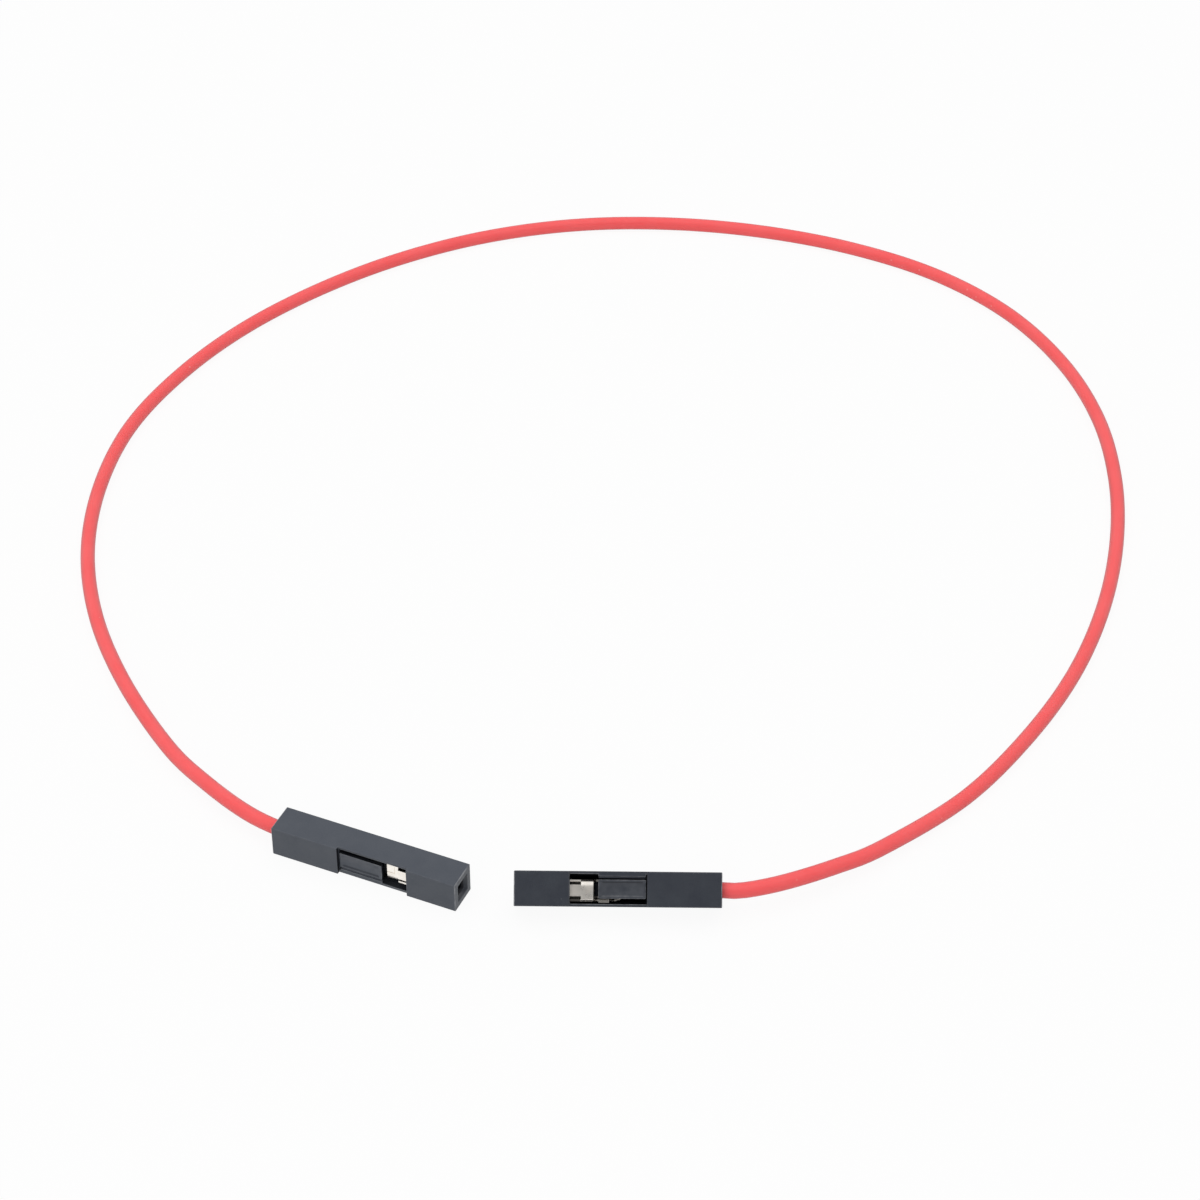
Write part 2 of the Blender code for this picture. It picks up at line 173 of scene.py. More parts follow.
def add_group(
    name: str, kind: str, inputs: dict[str, tuple[str, object]], outputs: dict[str, str]
) -> tuple[bpy.types.NodeTree, bpy.types.Node, bpy.types.Node]:
    """Makes a node group with named sockets.

    Args:
        name: The group's name.
        kind: The kind of tree.
        inputs: For each input's name, its socket type and its first value or None.
        outputs: For each output's name, its socket type.

    Returns:
        The tree, its input node and its output node.
    """
    tree = bpy.data.node_groups.new(name, kind)
    for title, (socket_type, value) in inputs.items():
        socket = tree.interface.new_socket(title, in_out="INPUT", socket_type=socket_type)
        if value is not None:
            socket.default_value = value
    for title, socket_type in outputs.items():
        tree.interface.new_socket(title, in_out="OUTPUT", socket_type=socket_type)
    return tree, tree.nodes.new("NodeGroupInput"), tree.nodes.new("NodeGroupOutput")


def mix_colours(
    tree: bpy.types.NodeTree, factor: object, first: object, second: object
) -> bpy.types.NodeSocket:
    """Mixes two colours.

    Args:
        tree: The tree that the node goes into.
        factor: The second colour's share, as a number or a socket.
        first: A colour or a socket.
        second: A colour or a socket.

    Returns:
        The mixed colour's socket.
    """

    def filled(value: object) -> object:
        """Adds full alpha to a plain colour."""
        return (*value, 1.0) if isinstance(value, tuple) else value

    inputs = {"Factor": factor, 6: filled(first), 7: filled(second)}
    return add_node(tree, "ShaderNodeMix", inputs, data_type="RGBA").outputs[2]


def ramp(
    tree: bpy.types.NodeTree, value: object, source: Point2, target: Point2
) -> bpy.types.NodeSocket:
    """Maps a value from one range to another, clamped, and returns the result's socket."""
    inputs = {0: value, 1: source[0], 2: source[1], 3: target[0], 4: target[1]}
    return add_node(tree, "ShaderNodeMapRange", inputs).outputs[0]


def bump(
    tree: bpy.types.NodeTree, height: bpy.types.NodeSocket, distance: float
) -> bpy.types.NodeSocket:
    """Turns a height into a surface normal.

    Args:
        tree: The tree that the node goes into.
        height: The height's socket.
        distance: How deep the relief goes, in metres.

    Returns:
        The normal's socket.
    """
    inputs = {"Height": height, "Distance": distance, "Strength": 1.0}
    return add_node(tree, "ShaderNodeBump", inputs).outputs[0]


def face_value(tree: bpy.types.NodeTree, attribute: str) -> bpy.types.NodeSocket:
    """The number that each of the piece's faces carries under this name."""
    return add_node(tree, "ShaderNodeAttribute", attribute_name=attribute).outputs["Fac"]


# Effects that more than one finish uses


class Effects:
    """Shader node groups for surface effects, each built the first time that it is asked for."""

    def __init__(self) -> None:
        """Starts with no group built."""
        self._built: dict[str, bpy.types.NodeTree] = {}

    def place(
        self,
        tree: bpy.types.NodeTree,
        effect: str,
        vector: bpy.types.NodeSocket,
        inputs: dict[str, object],
    ) -> bpy.types.NodeSocket:
        """Puts one effect's group into a material.

        Args:
            tree: The material's node tree.
            effect: The effect's name, which is also the name of the method that builds it.
            vector: The pattern coordinates.
            inputs: Values or sockets for the group's other inputs.

        Returns:
            The effect's socket.
        """
        if effect not in self._built:
            self._built[effect] = getattr(self, "_" + effect)()
        inputs = {"Vector": vector, **inputs}
        group = add_node(tree, "ShaderNodeGroup", inputs, node_tree=self._built[effect])
        return group.outputs[0]

    @staticmethod
    def _mottle() -> bpy.types.NodeTree:
        """Soft clouds that drift over a surface, from 0 to 1.

        Returns:
            The group's tree.
        """
        tree, start, end = add_group(
            "mottle",
            "ShaderNodeTree",
            {"Vector": ("NodeSocketVector", None), "Per mm": ("NodeSocketFloat", 1.0)},
            {"Value": "NodeSocketFloat"},
        )
        inputs = {"Vector": start.outputs["Vector"], "Scale": start.outputs["Per mm"]}
        noise = add_node(tree, "ShaderNodeTexNoise", {**inputs, "Detail": 3.0})
        tree.links.new(ramp(tree, noise.outputs[0], (0.3, 0.7), (0.0, 1.0)), end.inputs["Value"])
        return tree

    @staticmethod
    def _drawn_lines() -> bpy.types.NodeTree:
        """Fine lines along Z of the given vector, as a die or a roller leaves them.

        Returns:
            The group's tree.
        """
        tree, start, end = add_group(
            "drawn_lines",
            "ShaderNodeTree",
            {
                "Vector": ("NodeSocketVector", None),
                "Across per mm": ("NodeSocketFloat", 10.0),
                "Along per mm": ("NodeSocketFloat", 0.1),
            },
            {"Height": "NodeSocketFloat"},
        )
        across, along = start.outputs["Across per mm"], start.outputs["Along per mm"]
        scale = add_node(tree, "ShaderNodeCombineXYZ", {0: across, 1: across, 2: along})
        stretched = add_node(
            tree,
            "ShaderNodeVectorMath",
            {0: start.outputs["Vector"], 1: scale.outputs[0]},
            operation="MULTIPLY",
        )
        noise = add_node(
            tree,
            "ShaderNodeTexNoise",
            {"Vector": stretched.outputs[0], "Scale": 1.0, "Detail": 4.0, "Roughness": 0.6},
        )
        tree.links.new(noise.outputs[0], end.inputs["Height"])
        return tree

    @staticmethod
    def _grain() -> bpy.types.NodeTree:
        """The fine pebble of a spark-eroded mould over a slower waviness.

        Returns:
            The group's tree.
        """
        tree, start, end = add_group(
            "grain",
            "ShaderNodeTree",
            {"Vector": ("NodeSocketVector", None), "Per mm": ("NodeSocketFloat", 12.0)},
            {"Height": "NodeSocketFloat"},
        )
        vector, scale = start.outputs["Vector"], start.outputs["Per mm"]
        pebble = add_node(
            tree, "ShaderNodeTexVoronoi", {"Vector": vector, "Scale": scale}, feature="SMOOTH_F1"
        )
        slow = add_node(tree, "ShaderNodeMath", {0: scale, 1: 0.2}, operation="MULTIPLY")
        wave = add_node(
            tree, "ShaderNodeTexNoise", {"Vector": vector, "Scale": slow.outputs[0], "Detail": 2.0}
        )
        both = add_node(
            tree,
            "ShaderNodeMath",
            {0: wave.outputs[0], 1: 1.5, 2: pebble.outputs["Distance"]},
            operation="MULTIPLY_ADD",
        )
        tree.links.new(both.outputs[0], end.inputs["Height"])
        return tree

    @staticmethod
    def _specks() -> bpy.types.NodeTree:
        """A few small specks of dust, 1 where a speck lies and 0 elsewhere.

        Returns:
            The group's tree.
        """
        tree, start, end = add_group(
            "specks",
            "ShaderNodeTree",
            {"Vector": ("NodeSocketVector", None), "Per mm": ("NodeSocketFloat", 1.5)},
            {"Mask": "NodeSocketFloat"},
        )
        inputs = {"Vector": start.outputs["Vector"], "Scale": start.outputs["Per mm"]}
        cells = add_node(tree, "ShaderNodeTexVoronoi", inputs)
        near = ramp(tree, cells.outputs["Distance"], (0.05, 0.09), (1.0, 0.0))
        chosen = ramp(tree, cells.outputs["Color"], (0.62, 0.66), (0.0, 1.0))
        both = add_node(tree, "ShaderNodeMath", {0: near, 1: chosen}, operation="MULTIPLY")
        tree.links.new(both.outputs[0], end.inputs["Mask"])
        return tree

    @staticmethod
    def _patches() -> bpy.types.NodeTree:
        """Breaks up a mask, so that the painted highlight along an edge comes and goes in patches,
        as wear would.

        Returns:
            The group's tree.
        """
        tree, start, end = add_group(
            "patches",
            "ShaderNodeTree",
            {
                "Vector": ("NodeSocketVector", None),
                "Mask": ("NodeSocketFloat", 1.0),
                "Per mm": ("NodeSocketFloat", 2.0),
            },
            {"Mask": "NodeSocketFloat"},
        )
        inputs = {"Vector": start.outputs["Vector"], "Scale": start.outputs["Per mm"]}
        noise = add_node(tree, "ShaderNodeTexNoise", {**inputs, "Detail": 4.0})
        patchy = ramp(tree, noise.outputs[0], (0.35, 0.62), (0.3, 1.0))
        worn = {0: start.outputs["Mask"], 1: patchy}
        both = add_node(tree, "ShaderNodeMath", worn, operation="MULTIPLY")
        tree.links.new(both.outputs[0], end.inputs["Mask"])
        return tree


# Finishes


def new_material(name: str) -> tuple[bpy.types.Material, bpy.types.NodeTree, bpy.types.Node]:
    """Makes a material.

    Args:
        name: The material's name.

    Returns:
        The material, its tree and its Principled shader.
    """
    material = bpy.data.materials.new(name)
    material.use_nodes = True
    return material, material.node_tree, material.node_tree.nodes["Principled BSDF"]


def pattern_vector(tree: bpy.types.NodeTree, attribute: str) -> bpy.types.NodeSocket:
    """The piece's own pattern coordinates, in millimetres."""
    return add_node(tree, "ShaderNodeAttribute", attribute_name=attribute).outputs["Vector"]


@dataclass(frozen=True)
class MouldedPlastic:
    """Black housing plastic with a fine mould grain, dust specks, painted highlight on its edges
    and painted shade in its recesses.
    """

    name: str
    colour: Colour
    cloud: Colour
    # Painted highlight colour, laid on edges and slopes where light would catch them
    painted_highlight: Colour = (0.22, 0.225, 0.24)
    dust: Colour = (0.20, 0.20, 0.21)
    # Painted shade: the colour and the lower gloss of faces that lie in recesses
    depth: Colour = (0.004, 0.004, 0.005)
    painted_shade_gloss: float = 0.1
    gloss: float = 0.5
    roughness: Point2 = (0.40, 0.54)
    clouds_per_mm: float = 0.7
    specks_per_mm: float = 1.3
    dust_share: float = 0.35
    grain_per_mm: float = 14.0
    grain_range: Point2 = (0.6, 1.6)
    grain_depth: float = 0.0035 * MM

    def material(self, effects: Effects) -> bpy.types.Material:
        """Builds the material.

        Args:
            effects: The shared effect groups.

        Returns:
            The finished material.
        """
        material, tree, shader = new_material(self.name)
        vector = pattern_vector(tree, LOCAL_MM)
        clouds = effects.place(tree, "mottle", vector, {"Per mm": self.clouds_per_mm})
        # Painted highlight on edges and slopes, broken into patches
        painted_highlight_mask = effects.place(tree, "patches", vector, {"Mask": face_value(tree, PAINTED_HIGHLIGHT_ATTRIBUTE)})
        specks = effects.place(tree, "specks", vector, {"Per mm": self.specks_per_mm})
        grain = effects.place(tree, "grain", vector, {"Per mm": self.grain_per_mm})
        dusty = ramp(tree, specks, (0, 1), (0, self.dust_share))
        # Painted shade in recesses
        painted_shade = face_value(tree, PAINTED_SHADE_ATTRIBUTE)
        colour = mix_colours(tree, clouds, self.colour, self.cloud)
        colour = mix_colours(tree, painted_highlight_mask, colour, self.painted_highlight)
        colour = mix_colours(tree, dusty, colour, self.dust)
        fill_inputs(
            shader,
            {
                "Base Color": mix_colours(tree, painted_shade, colour, self.depth),
                "Roughness": ramp(tree, grain, self.grain_range, self.roughness),
                "Normal": bump(tree, grain, self.grain_depth),
                "Specular IOR Level": ramp(tree, painted_shade, (0, 1), (self.gloss, self.painted_shade_gloss)),
            },
        )
        return material


# One black plastic in a lighter copy for a and a darker copy for b, which paint in how the light
# falls on the two housings
HOUSING_FINISHES = {
    End.A: MouldedPlastic(
        name="black_plastic_lit_copy",
        colour=(0.044, 0.052, 0.068),
        cloud=(0.053, 0.061, 0.077),
    ),
    End.B: MouldedPlastic(
        name="black_plastic_shaded_copy",
        colour=(0.018, 0.022, 0.032),
        cloud=(0.025, 0.030, 0.040),
    ),
}


@dataclass(frozen=True)
class VinylInsulation:
    """Soft red vinyl drawn over the strands, with the die's faint lines along it and painted shade
    that darkens it towards its outline.
    """

    colour: Colour = (0.94, 0.120, 0.124)
    deep: Colour = (0.92, 0.102, 0.106)
    # Painted shade: the vinyl darkens towards its outline as it turns from the view
    painted_edge_shade: Colour = (0.56, 0.090, 0.102)
    painted_edge_shade_facing: Point2 = (0.45, 0.95)
    dust: Colour = (0.85, 0.55, 0.52)
    dust_share: float = 0.3
    gloss: float = 0.4
    roughness: Point2 = (0.34, 0.48)
    clouds_per_mm: float = 0.35
    specks_per_mm: float = 0.9
    lines_across_per_mm: float = 6.0
    lines_along_per_mm: float = 0.12
    line_range: Point2 = (0.3, 0.7)
    line_depth: float = 0.004 * MM
    bleed_share: float = 0.12
    bleed: Colour = (1.0, 0.25, 0.2)
    bleed_depth: float = 0.35 * MM

    def material(self, effects: Effects) -> bpy.types.Material:
        """Builds the material.

        Args:
            effects: The shared effect groups.

        Returns:
            The finished material.
        """
        material, tree, shader = new_material("red_vinyl_insulation")
        vector = pattern_vector(tree, LAY_MM)
        clouds = effects.place(tree, "mottle", vector, {"Per mm": self.clouds_per_mm})
        per_mm = {
            "Across per mm": self.lines_across_per_mm,
            "Along per mm": self.lines_along_per_mm,
        }
        lines = effects.place(tree, "drawn_lines", vector, per_mm)
        specks = effects.place(tree, "specks", vector, {"Per mm": self.specks_per_mm})
        dusty = ramp(tree, specks, (0, 1), (0, self.dust_share))
        # Painted shade towards the outline
        facing = add_node(tree, "ShaderNodeLayerWeight", {"Blend": 0.5}).outputs["Facing"]
        painted_edge_shade = ramp(tree, facing, self.painted_edge_shade_facing, (0, 1))
        colour = mix_colours(tree, clouds, self.colour, self.deep)
        colour = mix_colours(tree, dusty, colour, self.dust)
        fill_inputs(
            shader,
            {
                "Base Color": mix_colours(tree, painted_edge_shade, colour, self.painted_edge_shade),
                "Roughness": ramp(tree, lines, self.line_range, self.roughness),
                "Normal": bump(tree, lines, self.line_depth),
                "Subsurface Weight": self.bleed_share,
                "Subsurface Radius": self.bleed,
                "Subsurface Scale": self.bleed_depth,
                "Specular IOR Level": self.gloss,
            },
        )
        return material


@dataclass(frozen=True)
class PlatedMetal:
    """Tin plating with the base sheet's rolling lines, or the die's lines on a drawn strand, and
    painted shade on the faces that lie inside the terminal.
    """

    name: str
    pattern: str
    along: Point3
    colour: Colour
    dull: Colour
    roughness: Point2
    line_depth: float
    lines_across_per_mm: float
    lines_along_per_mm: float = 0.6
    clouds_per_mm: float = 1.8
    # Painted shade colour for faces inside the terminal
    depth: Colour = (0.06, 0.055, 0.05)

    def material(self, effects: Effects) -> bpy.types.Material:
        """Builds the material.

        Args:
            effects: The shared effect groups.

        Returns:
            The finished material.
        """
        material, tree, shader = new_material(self.name)
        vector = pattern_vector(tree, self.pattern)
        turned = add_node(tree, "ShaderNodeMapping", {"Vector": vector, "Rotation": self.along})
        clouds = effects.place(tree, "mottle", vector, {"Per mm": self.clouds_per_mm})
        per_mm = {
            "Across per mm": self.lines_across_per_mm,
            "Along per mm": self.lines_along_per_mm,
        }
        lines = effects.place(tree, "drawn_lines", turned.outputs[0], per_mm)
        colour = mix_colours(tree, clouds, self.colour, self.dull)
        fill_inputs(
            shader,
            {
                # Painted shade on faces inside the terminal
                "Base Color": mix_colours(tree, face_value(tree, PAINTED_SHADE_ATTRIBUTE), colour, self.depth),
                "Roughness": ramp(tree, clouds, (0, 1), self.roughness),
                "Normal": bump(tree, lines, self.line_depth),
                "Metallic": 1.0,
            },
        )
        return material


TIN_SHEET = PlatedMetal(
    name="tinned_sheet",
    pattern=LOCAL_MM,
    along=(0.0, math.radians(90), 0.0),
    colour=(0.97, 0.93, 0.87),
    dull=(0.91, 0.86, 0.79),
    roughness=(0.24, 0.40),
    line_depth=0.0012 * MM,
    lines_across_per_mm=16.0,
)
TINNED_STRAND = PlatedMetal(
    name="tinned_strand",
    pattern=LAY_MM,
    along=(0.0, 0.0, 0.0),
    colour=(0.84, 0.78, 0.70),
    dull=(0.72, 0.62, 0.53),
    roughness=(0.25, 0.38),
    line_depth=0.0006 * MM,
    lines_across_per_mm=40.0,
)


# Mesh helpers


def new_object(name: str, data: bpy.types.ID) -> bpy.types.Object:
    """Makes an object and links it to the scene.

    Args:
        name: The object's name.
        data: What it shows.

    Returns:
        The new object.
    """
    obj = bpy.data.objects.new(name, data)
    bpy.context.scene.collection.objects.link(obj)
    return obj


def loft(name: str, rings: list[list[Point3]]) -> bpy.types.Object:
    """Makes a closed body through rings of points.

    Args:
        name: The object's name.
        rings: Rings with the same number of points, in order.

    Returns:
        The new object, with its faces pointing out.
    """
    bm = bmesh.new()
    loops = [[bm.verts.new(point) for point in ring] for ring in rings]
    count = len(loops[0])
    for first, second in zip(loops, loops[1:]):
        for i in range(count):
            j = (i + 1) % count
            bm.faces.new((first[i], first[j], second[j], second[i]))
    bm.faces.new(loops[0])
    bm.faces.new(loops[-1])
    bmesh.ops.recalc_face_normals(bm, faces=bm.faces)
    mesh = bpy.data.meshes.new(name)
    bm.to_mesh(mesh)
    bm.free()
    return new_object(name, mesh)


def prism(name: str, outline: list[Point2], axis: str, low: float, high: float) -> bpy.types.Object:
    """Extrudes an outline.

    Args:
        name: The object's name.
        outline: Points in the two axes across the extrusion, in x, y, z order.
        axis: The axis to extrude along: x, y or z.
        low: Where the extrusion starts.
        high: Where it ends.

    Returns:
        The new object.
    """
    slot_u, slot_v, slot_w = {"x": (1, 2, 0), "y": (0, 2, 1), "z": (0, 1, 2)}[axis]
    rings = []
    for height in (low, high):
        ring = np.zeros((len(outline), 3))
        ring[:, slot_u] = [point[0] for point in outline]
        ring[:, slot_v] = [point[1] for point in outline]
        ring[:, slot_w] = height
        rings.append([tuple(row) for row in ring])
    return loft(name, rings)


def rectangle(low_u: float, high_u: float, low_v: float, high_v: float) -> list[Point2]:
    """The corners of a rectangle."""
    return [(low_u, low_v), (high_u, low_v), (high_u, high_v), (low_u, high_v)]


def square_sheet(name: str, half: float, height: float) -> bpy.types.Object:
    """Makes a flat square that faces up.

    Args:
        name: The object's name.
        half: Half of its side.
        height: How high it lies in its own space.

    Returns:
        The new object.
    """
    mesh = bpy.data.meshes.new(name)
    corners = [(x, y, height) for x, y in rectangle(-half, half, -half, half)]
    mesh.from_pydata(corners, [], [(0, 1, 2, 3)])
    return new_object(name, mesh)


def ease(share: float) -> float:
    """Eases a share in and out, from 0 to 1."""
    return share * share * (3 - 2 * share)


def arc(centre: Point2, radius: float, start: float, stop: float, steps: int) -> list[Point2]:
    """Points along an arc, with its angles in degrees."""
    angles = np.radians(np.linspace(start, stop, steps + 1))
    return [(centre[0] + radius * math.cos(a), centre[1] + radius * math.sin(a)) for a in angles]


def evaluated_mesh(obj: bpy.types.Object) -> bpy.types.Mesh:
    """Copies an object's mesh with its modifiers in it.

    Args:
        obj: The object.

    Returns:
        The new mesh.
    """
    bpy.context.view_layer.update()
    graph = bpy.context.evaluated_depsgraph_get()
    return bpy.data.meshes.new_from_object(obj.evaluated_get(graph))


def settle(obj: bpy.types.Object) -> None:
    """Makes an object's modifiers part of its mesh and removes them.

    Args:
        obj: The object.
    """
    mesh = evaluated_mesh(obj)
    old = obj.data
    obj.modifiers.clear()
    obj.data = mesh
    mesh.name = obj.name
    bpy.data.meshes.remove(old)


def combine(body: bpy.types.Object, operation: str, others: list[bpy.types.Object]) -> None:
    """Cuts the others from the body or joins them to it, and removes them.

    Args:
        body: The object that is changed.
        operation: DIFFERENCE or UNION.
        others: The cutters or the added forms.
    """
    for other in others:
        modifier = body.modifiers.new(other.name, "BOOLEAN")
        modifier.operation = operation
        modifier.object = other
        modifier.solver = "EXACT"
    settle(body)
    for other in others:
        bpy.data.objects.remove(other, do_unlink=True)


def store_vectors(mesh: bpy.types.Mesh, name: str, vectors: np.ndarray) -> None:
    """Keeps one vector for each point of the mesh as an attribute."""
    attribute = mesh.attributes.new(name, "FLOAT_VECTOR", "POINT")
    attribute.data.foreach_set("vector", vectors.astype(np.float32).ravel())


def mark_faces(
    mesh: bpy.types.Mesh, name: str, rule: Callable[[bpy.types.MeshPolygon], float]
) -> None:
    """Keeps one number for each face of the mesh as an attribute.

    Args:
        mesh: The mesh.
        name: The attribute's name.
        rule: Gives a face's number.
    """
    values = [rule(face) for face in mesh.polygons]
    mesh.attributes.new(name, "FLOAT", "FACE").data.foreach_set("value", values)


# Connectors


@dataclass(frozen=True)
class ConnectorPlace:
    """Where a connector lies: its matrix takes local metres to the frame."""

    end: End
    matrix: Matrix

    @classmethod
    def from_frame(cls, end: End) -> "ConnectorPlace":
        """Works the place out from the housing's box and the mount on its nose.

        Args:
            end: Which connector.

        Returns:
            The connector's place.
        """
        low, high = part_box(f"housing_{end.value}")
        middle = (low + high) / 2
        mounts = {mount["name"]: mount for mount in frame["record"]["mounts"]}
        mount = mounts[f"mating_face_{end.value}"]
        axis = Vector(mount["axis"]).normalized()
        reach = Vector(mount["pos_m"]) - middle
        half_length = reach.dot(axis)
        window = (reach - axis * half_length).normalized()
        side = window.cross(axis)
        matrix = Matrix((axis, side, window)).transposed().to_4x4()
        matrix.translation = middle - axis * half_length
        return cls(end, matrix)

    def axis_point(self, along: float) -> np.ndarray:
        """A point on the connector's axis, this many metres from the wire's exit."""
        return np.array(self.matrix @ Vector((along, 0.0, 0.0)))

    def put(self, obj: bpy.types.Object) -> None:
        """Takes a shape drawn in local millimetres to its place in the frame.

        Args:
            obj: The shape's object, whose mesh is moved.
        """
        mesh = obj.data
        points = np.zeros(len(mesh.vertices) * 3)
        mesh.vertices.foreach_get("co", points)
        store_vectors(mesh, LOCAL_MM, points)
        mesh.transform(self.matrix @ Matrix.Scale(MM, 4))
        mesh.update()


@dataclass(frozen=True)
class Housing:
    """The moulded housing: pin mouth, terminal pocket, window and latch tongue. Millimetres."""

    place: ConnectorPlace
    material: bpy.types.Material
    length: float = 14.35
    half_width: float = 1.225
    overcut: float = 0.5
    pocket_half_width: float = 0.88
    pocket_floor: float = -0.79
    pocket_top: float = 0.575
    box_pocket_top: float = 0.83
    rear_pocket_top: float = 0.79
    rear_lead_in: float = 0.12
    stop: float = 13.45
    mouth_half_width: float = 0.525
    mouth_lead_in: float = 0.22
    channel: Point2 = (5.16, 10.55)
    channel_floor: float = 0.975
    root_line: float = 0.09
    window_front: float = 10.5
    window_half_width: float = 1.03
    narrow_slot: float = 0.73
    groove_side: float = 0.87
    groove_floor: float = 0.87
    window_sink: float = 1.0
    tongue: Point2 = (5.25, 8.53)
    tongue_half_width: float = 0.66
    tongue_face: float = 0.985
    panel: Point2 = (5.42, 8.32)
    panel_half_width: float = 0.52
    panel_slope: float = 0.09
    panel_depth: float = 0.09
    catch_length: float = 1.0
    catch_flat: float = 0.25
    catch_half_width: float = 0.48
    catch_drop: float = 0.32
    catch_heel: float = 0.03
    catch_toe: Point2 = (8.82, 0.40)
    bevel_segments: int = 3
    corner_angle: float = 20.0
    # Painted highlight on the rounded edges, the tongue and the panel slope that faces -Y
    end_highlight: float = 1.0
    long_highlight: float = 0.12
    cut_highlight: float = 0.6
    rim_highlight: float = 0.24
    panel_highlight: float = 0.10
    slope_highlight: float = 0.35
    # Painted shade on the panel slope that faces +Y
    slope_shade: float = 0.4
    slope_tilt: float = 0.3
    flat_tilt: float = 0.9
    slant_tilt: float = 0.99
    # Painted shade in the mouth, on the channel's rear wall and inside the housing
    mouth_shade: float = 0.4
    wall_shade: float = 0.85
    inner_shade: float = 0.75

    def _square_ring(self, x: float, half: float) -> list[Point3]:
        """The corners of a square across the axis."""
        return [(x, y, z) for y, z in rectangle(-half, half, -half, half)]

    def _pocket(self) -> bpy.types.Object:
        """The terminal's pocket, taller behind the latch than ahead of it.

        Returns:
            The cutter.
        """
        rear, _ = self.channel
        _, tip = self.tongue
        rise = self.rear_pocket_top - self.pocket_top
        outline = [
            (-self.overcut, self.pocket_floor),
            (self.stop, self.pocket_floor),
            (self.stop, self.box_pocket_top),
            (tip, self.box_pocket_top),
            (tip, self.pocket_top),
            (rear, self.pocket_top),
            (rear - rise, self.rear_pocket_top),
            (-self.overcut, self.rear_pocket_top),
        ]
        side = self.pocket_half_width
        return prism("pocket", outline, "y", -side, side)

    def _rear_lead(self) -> bpy.types.Object:
        """The slope round the rear opening.

        Returns:
            The cutter.
        """
        half = self.pocket_half_width
        lead = self.rear_lead_in
        grow = lead + self.overcut
        rings = [self._square_ring(-self.overcut, half + grow), self._square_ring(lead, half)]
        return loft("rear_lead", rings)

    def _mouth(self) -> bpy.types.Object:
        """The square pin entry through the nose.

        Returns:
            The cutter.
        """
        half = self.mouth_half_width
        grow = self.mouth_lead_in + self.overcut
        rings = [
            self._square_ring(self.stop - self.overcut, half),
            self._square_ring(self.length - self.mouth_lead_in, half),
            self._square_ring(self.length + self.overcut, half + grow),
        ]
        return loft("mouth", rings)

    def _channel(self) -> bpy.types.Object:
        """The shallow channel across the window face, which leaves the tongue a little proud.

        Returns:
            The cutter.
        """
        side = self.half_width + self.overcut
        half = self.tongue_half_width
        outline = [
            (-side, self.channel_floor),
            (-half, self.channel_floor),
            (-half, self.tongue_face),
            (half, self.tongue_face),
            (half, self.channel_floor),
            (side, self.channel_floor),
            (side, side),
            (-side, side),
        ]
        return prism("channel", outline, "x", *self.channel)

    def _window(self) -> bpy.types.Object:
        """The window ahead of the tongue, the open slot on one side of it and the thin one.

        Returns:
            The cutter.
        """
        root, tip = self.tongue
        wide, half = self.window_half_width, self.tongue_half_width
        outline = [
            (root, -self.narrow_slot),
            (tip, -self.narrow_slot),
            (tip, -wide),
            (self.window_front, -wide),
            (self.window_front, wide),
            (root, wide),
            (root, half),
            (tip, half),
            (tip, -half),
            (root, -half),
        ]
        low = self.pocket_top - self.window_sink
        return prism("window", outline, "z", low, self.half_width + self.overcut)

    def _side_groove(self) -> bpy.types.Object:
        """The shallow groove along the thin slot.

        Returns:
            The cutter.
        """
        root, tip = self.tongue
        outline = rectangle(root, tip, -self.groove_side, -self.tongue_half_width)
        return prism("side_groove", outline, "z", self.groove_floor, self.half_width)

    def _root_line(self) -> bpy.types.Object:
        """The narrow sink line across the channel, where the tongue springs from the body.

        Returns:
            The cutter.
        """
        rear = self.channel[0]
        side = self.window_half_width
        outline = rectangle(rear, rear + self.root_line, -side, side)
        low = self.channel_floor - 2 * self.root_line
        return prism("root_line", outline, "z", low, self.half_width)

    def _panel(self) -> bpy.types.Object:
        """The sunk panel in the tongue's face, with sloping sides.

        Returns:
            The cutter.
        """
        rear, front = self.panel
        rings = []
        for sunk in (1, -1):
            inset = self.panel_slope * sunk
            side = self.panel_half_width - inset
            z = self.tongue_face - self.panel_depth * sunk
            outline = rectangle(rear + inset, front - inset, -side, side)
            rings.append([(x, y, z) for x, y in outline])
        return loft("panel", rings)

    def _catch(self) -> bpy.types.Object:
        """The wedge under the tongue's free end.

        Returns:
            The form to add.
        """
        front = self.tongue[1] - self.catch_heel
        rear = front - self.catch_length
        seat = self.pocket_top + self.catch_heel
        low = self.pocket_top - self.catch_drop
        toe, toe_top = self.catch_toe
        outline = [
            (rear, seat),
            (rear, self.pocket_top - self.catch_heel),
            (front - self.catch_flat, low),
            (toe, low),
            (toe, toe_top),
            (front, toe_top),
            (front, seat),
        ]
        return prism("catch", outline, "y", -self.catch_half_width, self.catch_half_width)

    def _rounding(self, a: Vector, b: Vector) -> Rounding:
        """Says how an edge is rounded.

        Args:
            a: One end of the edge.
            b: Its other end.

        Returns:
            The edge's rounding.
        """
        half = self.half_width

        def both(test: Callable[[Vector], bool]) -> bool:
            """Whether the test holds at both ends."""
            return test(a) and test(b)

        on_y = both(lambda p: abs(abs(p.y) - half) < TOUCH) and a.y * b.y > 0
        on_z = both(lambda p: abs(abs(p.z) - half) < TOUCH) and a.z * b.z > 0
        at_end = both(lambda p: p.x < TOUCH) or both(lambda p: p.x > self.length - TOUCH)
        if (on_y and on_z) or (at_end and (on_y or on_z)):
            return Rounding.OUTER
        if at_end:
            return Rounding.RIM
        if both(self._on_panel):
            return Rounding.NONE
        if both(lambda p: p.z > self.pocket_top + TOUCH and p.x > self.channel[0] - TOUCH):
            return Rounding.CUT
        return Rounding.NONE

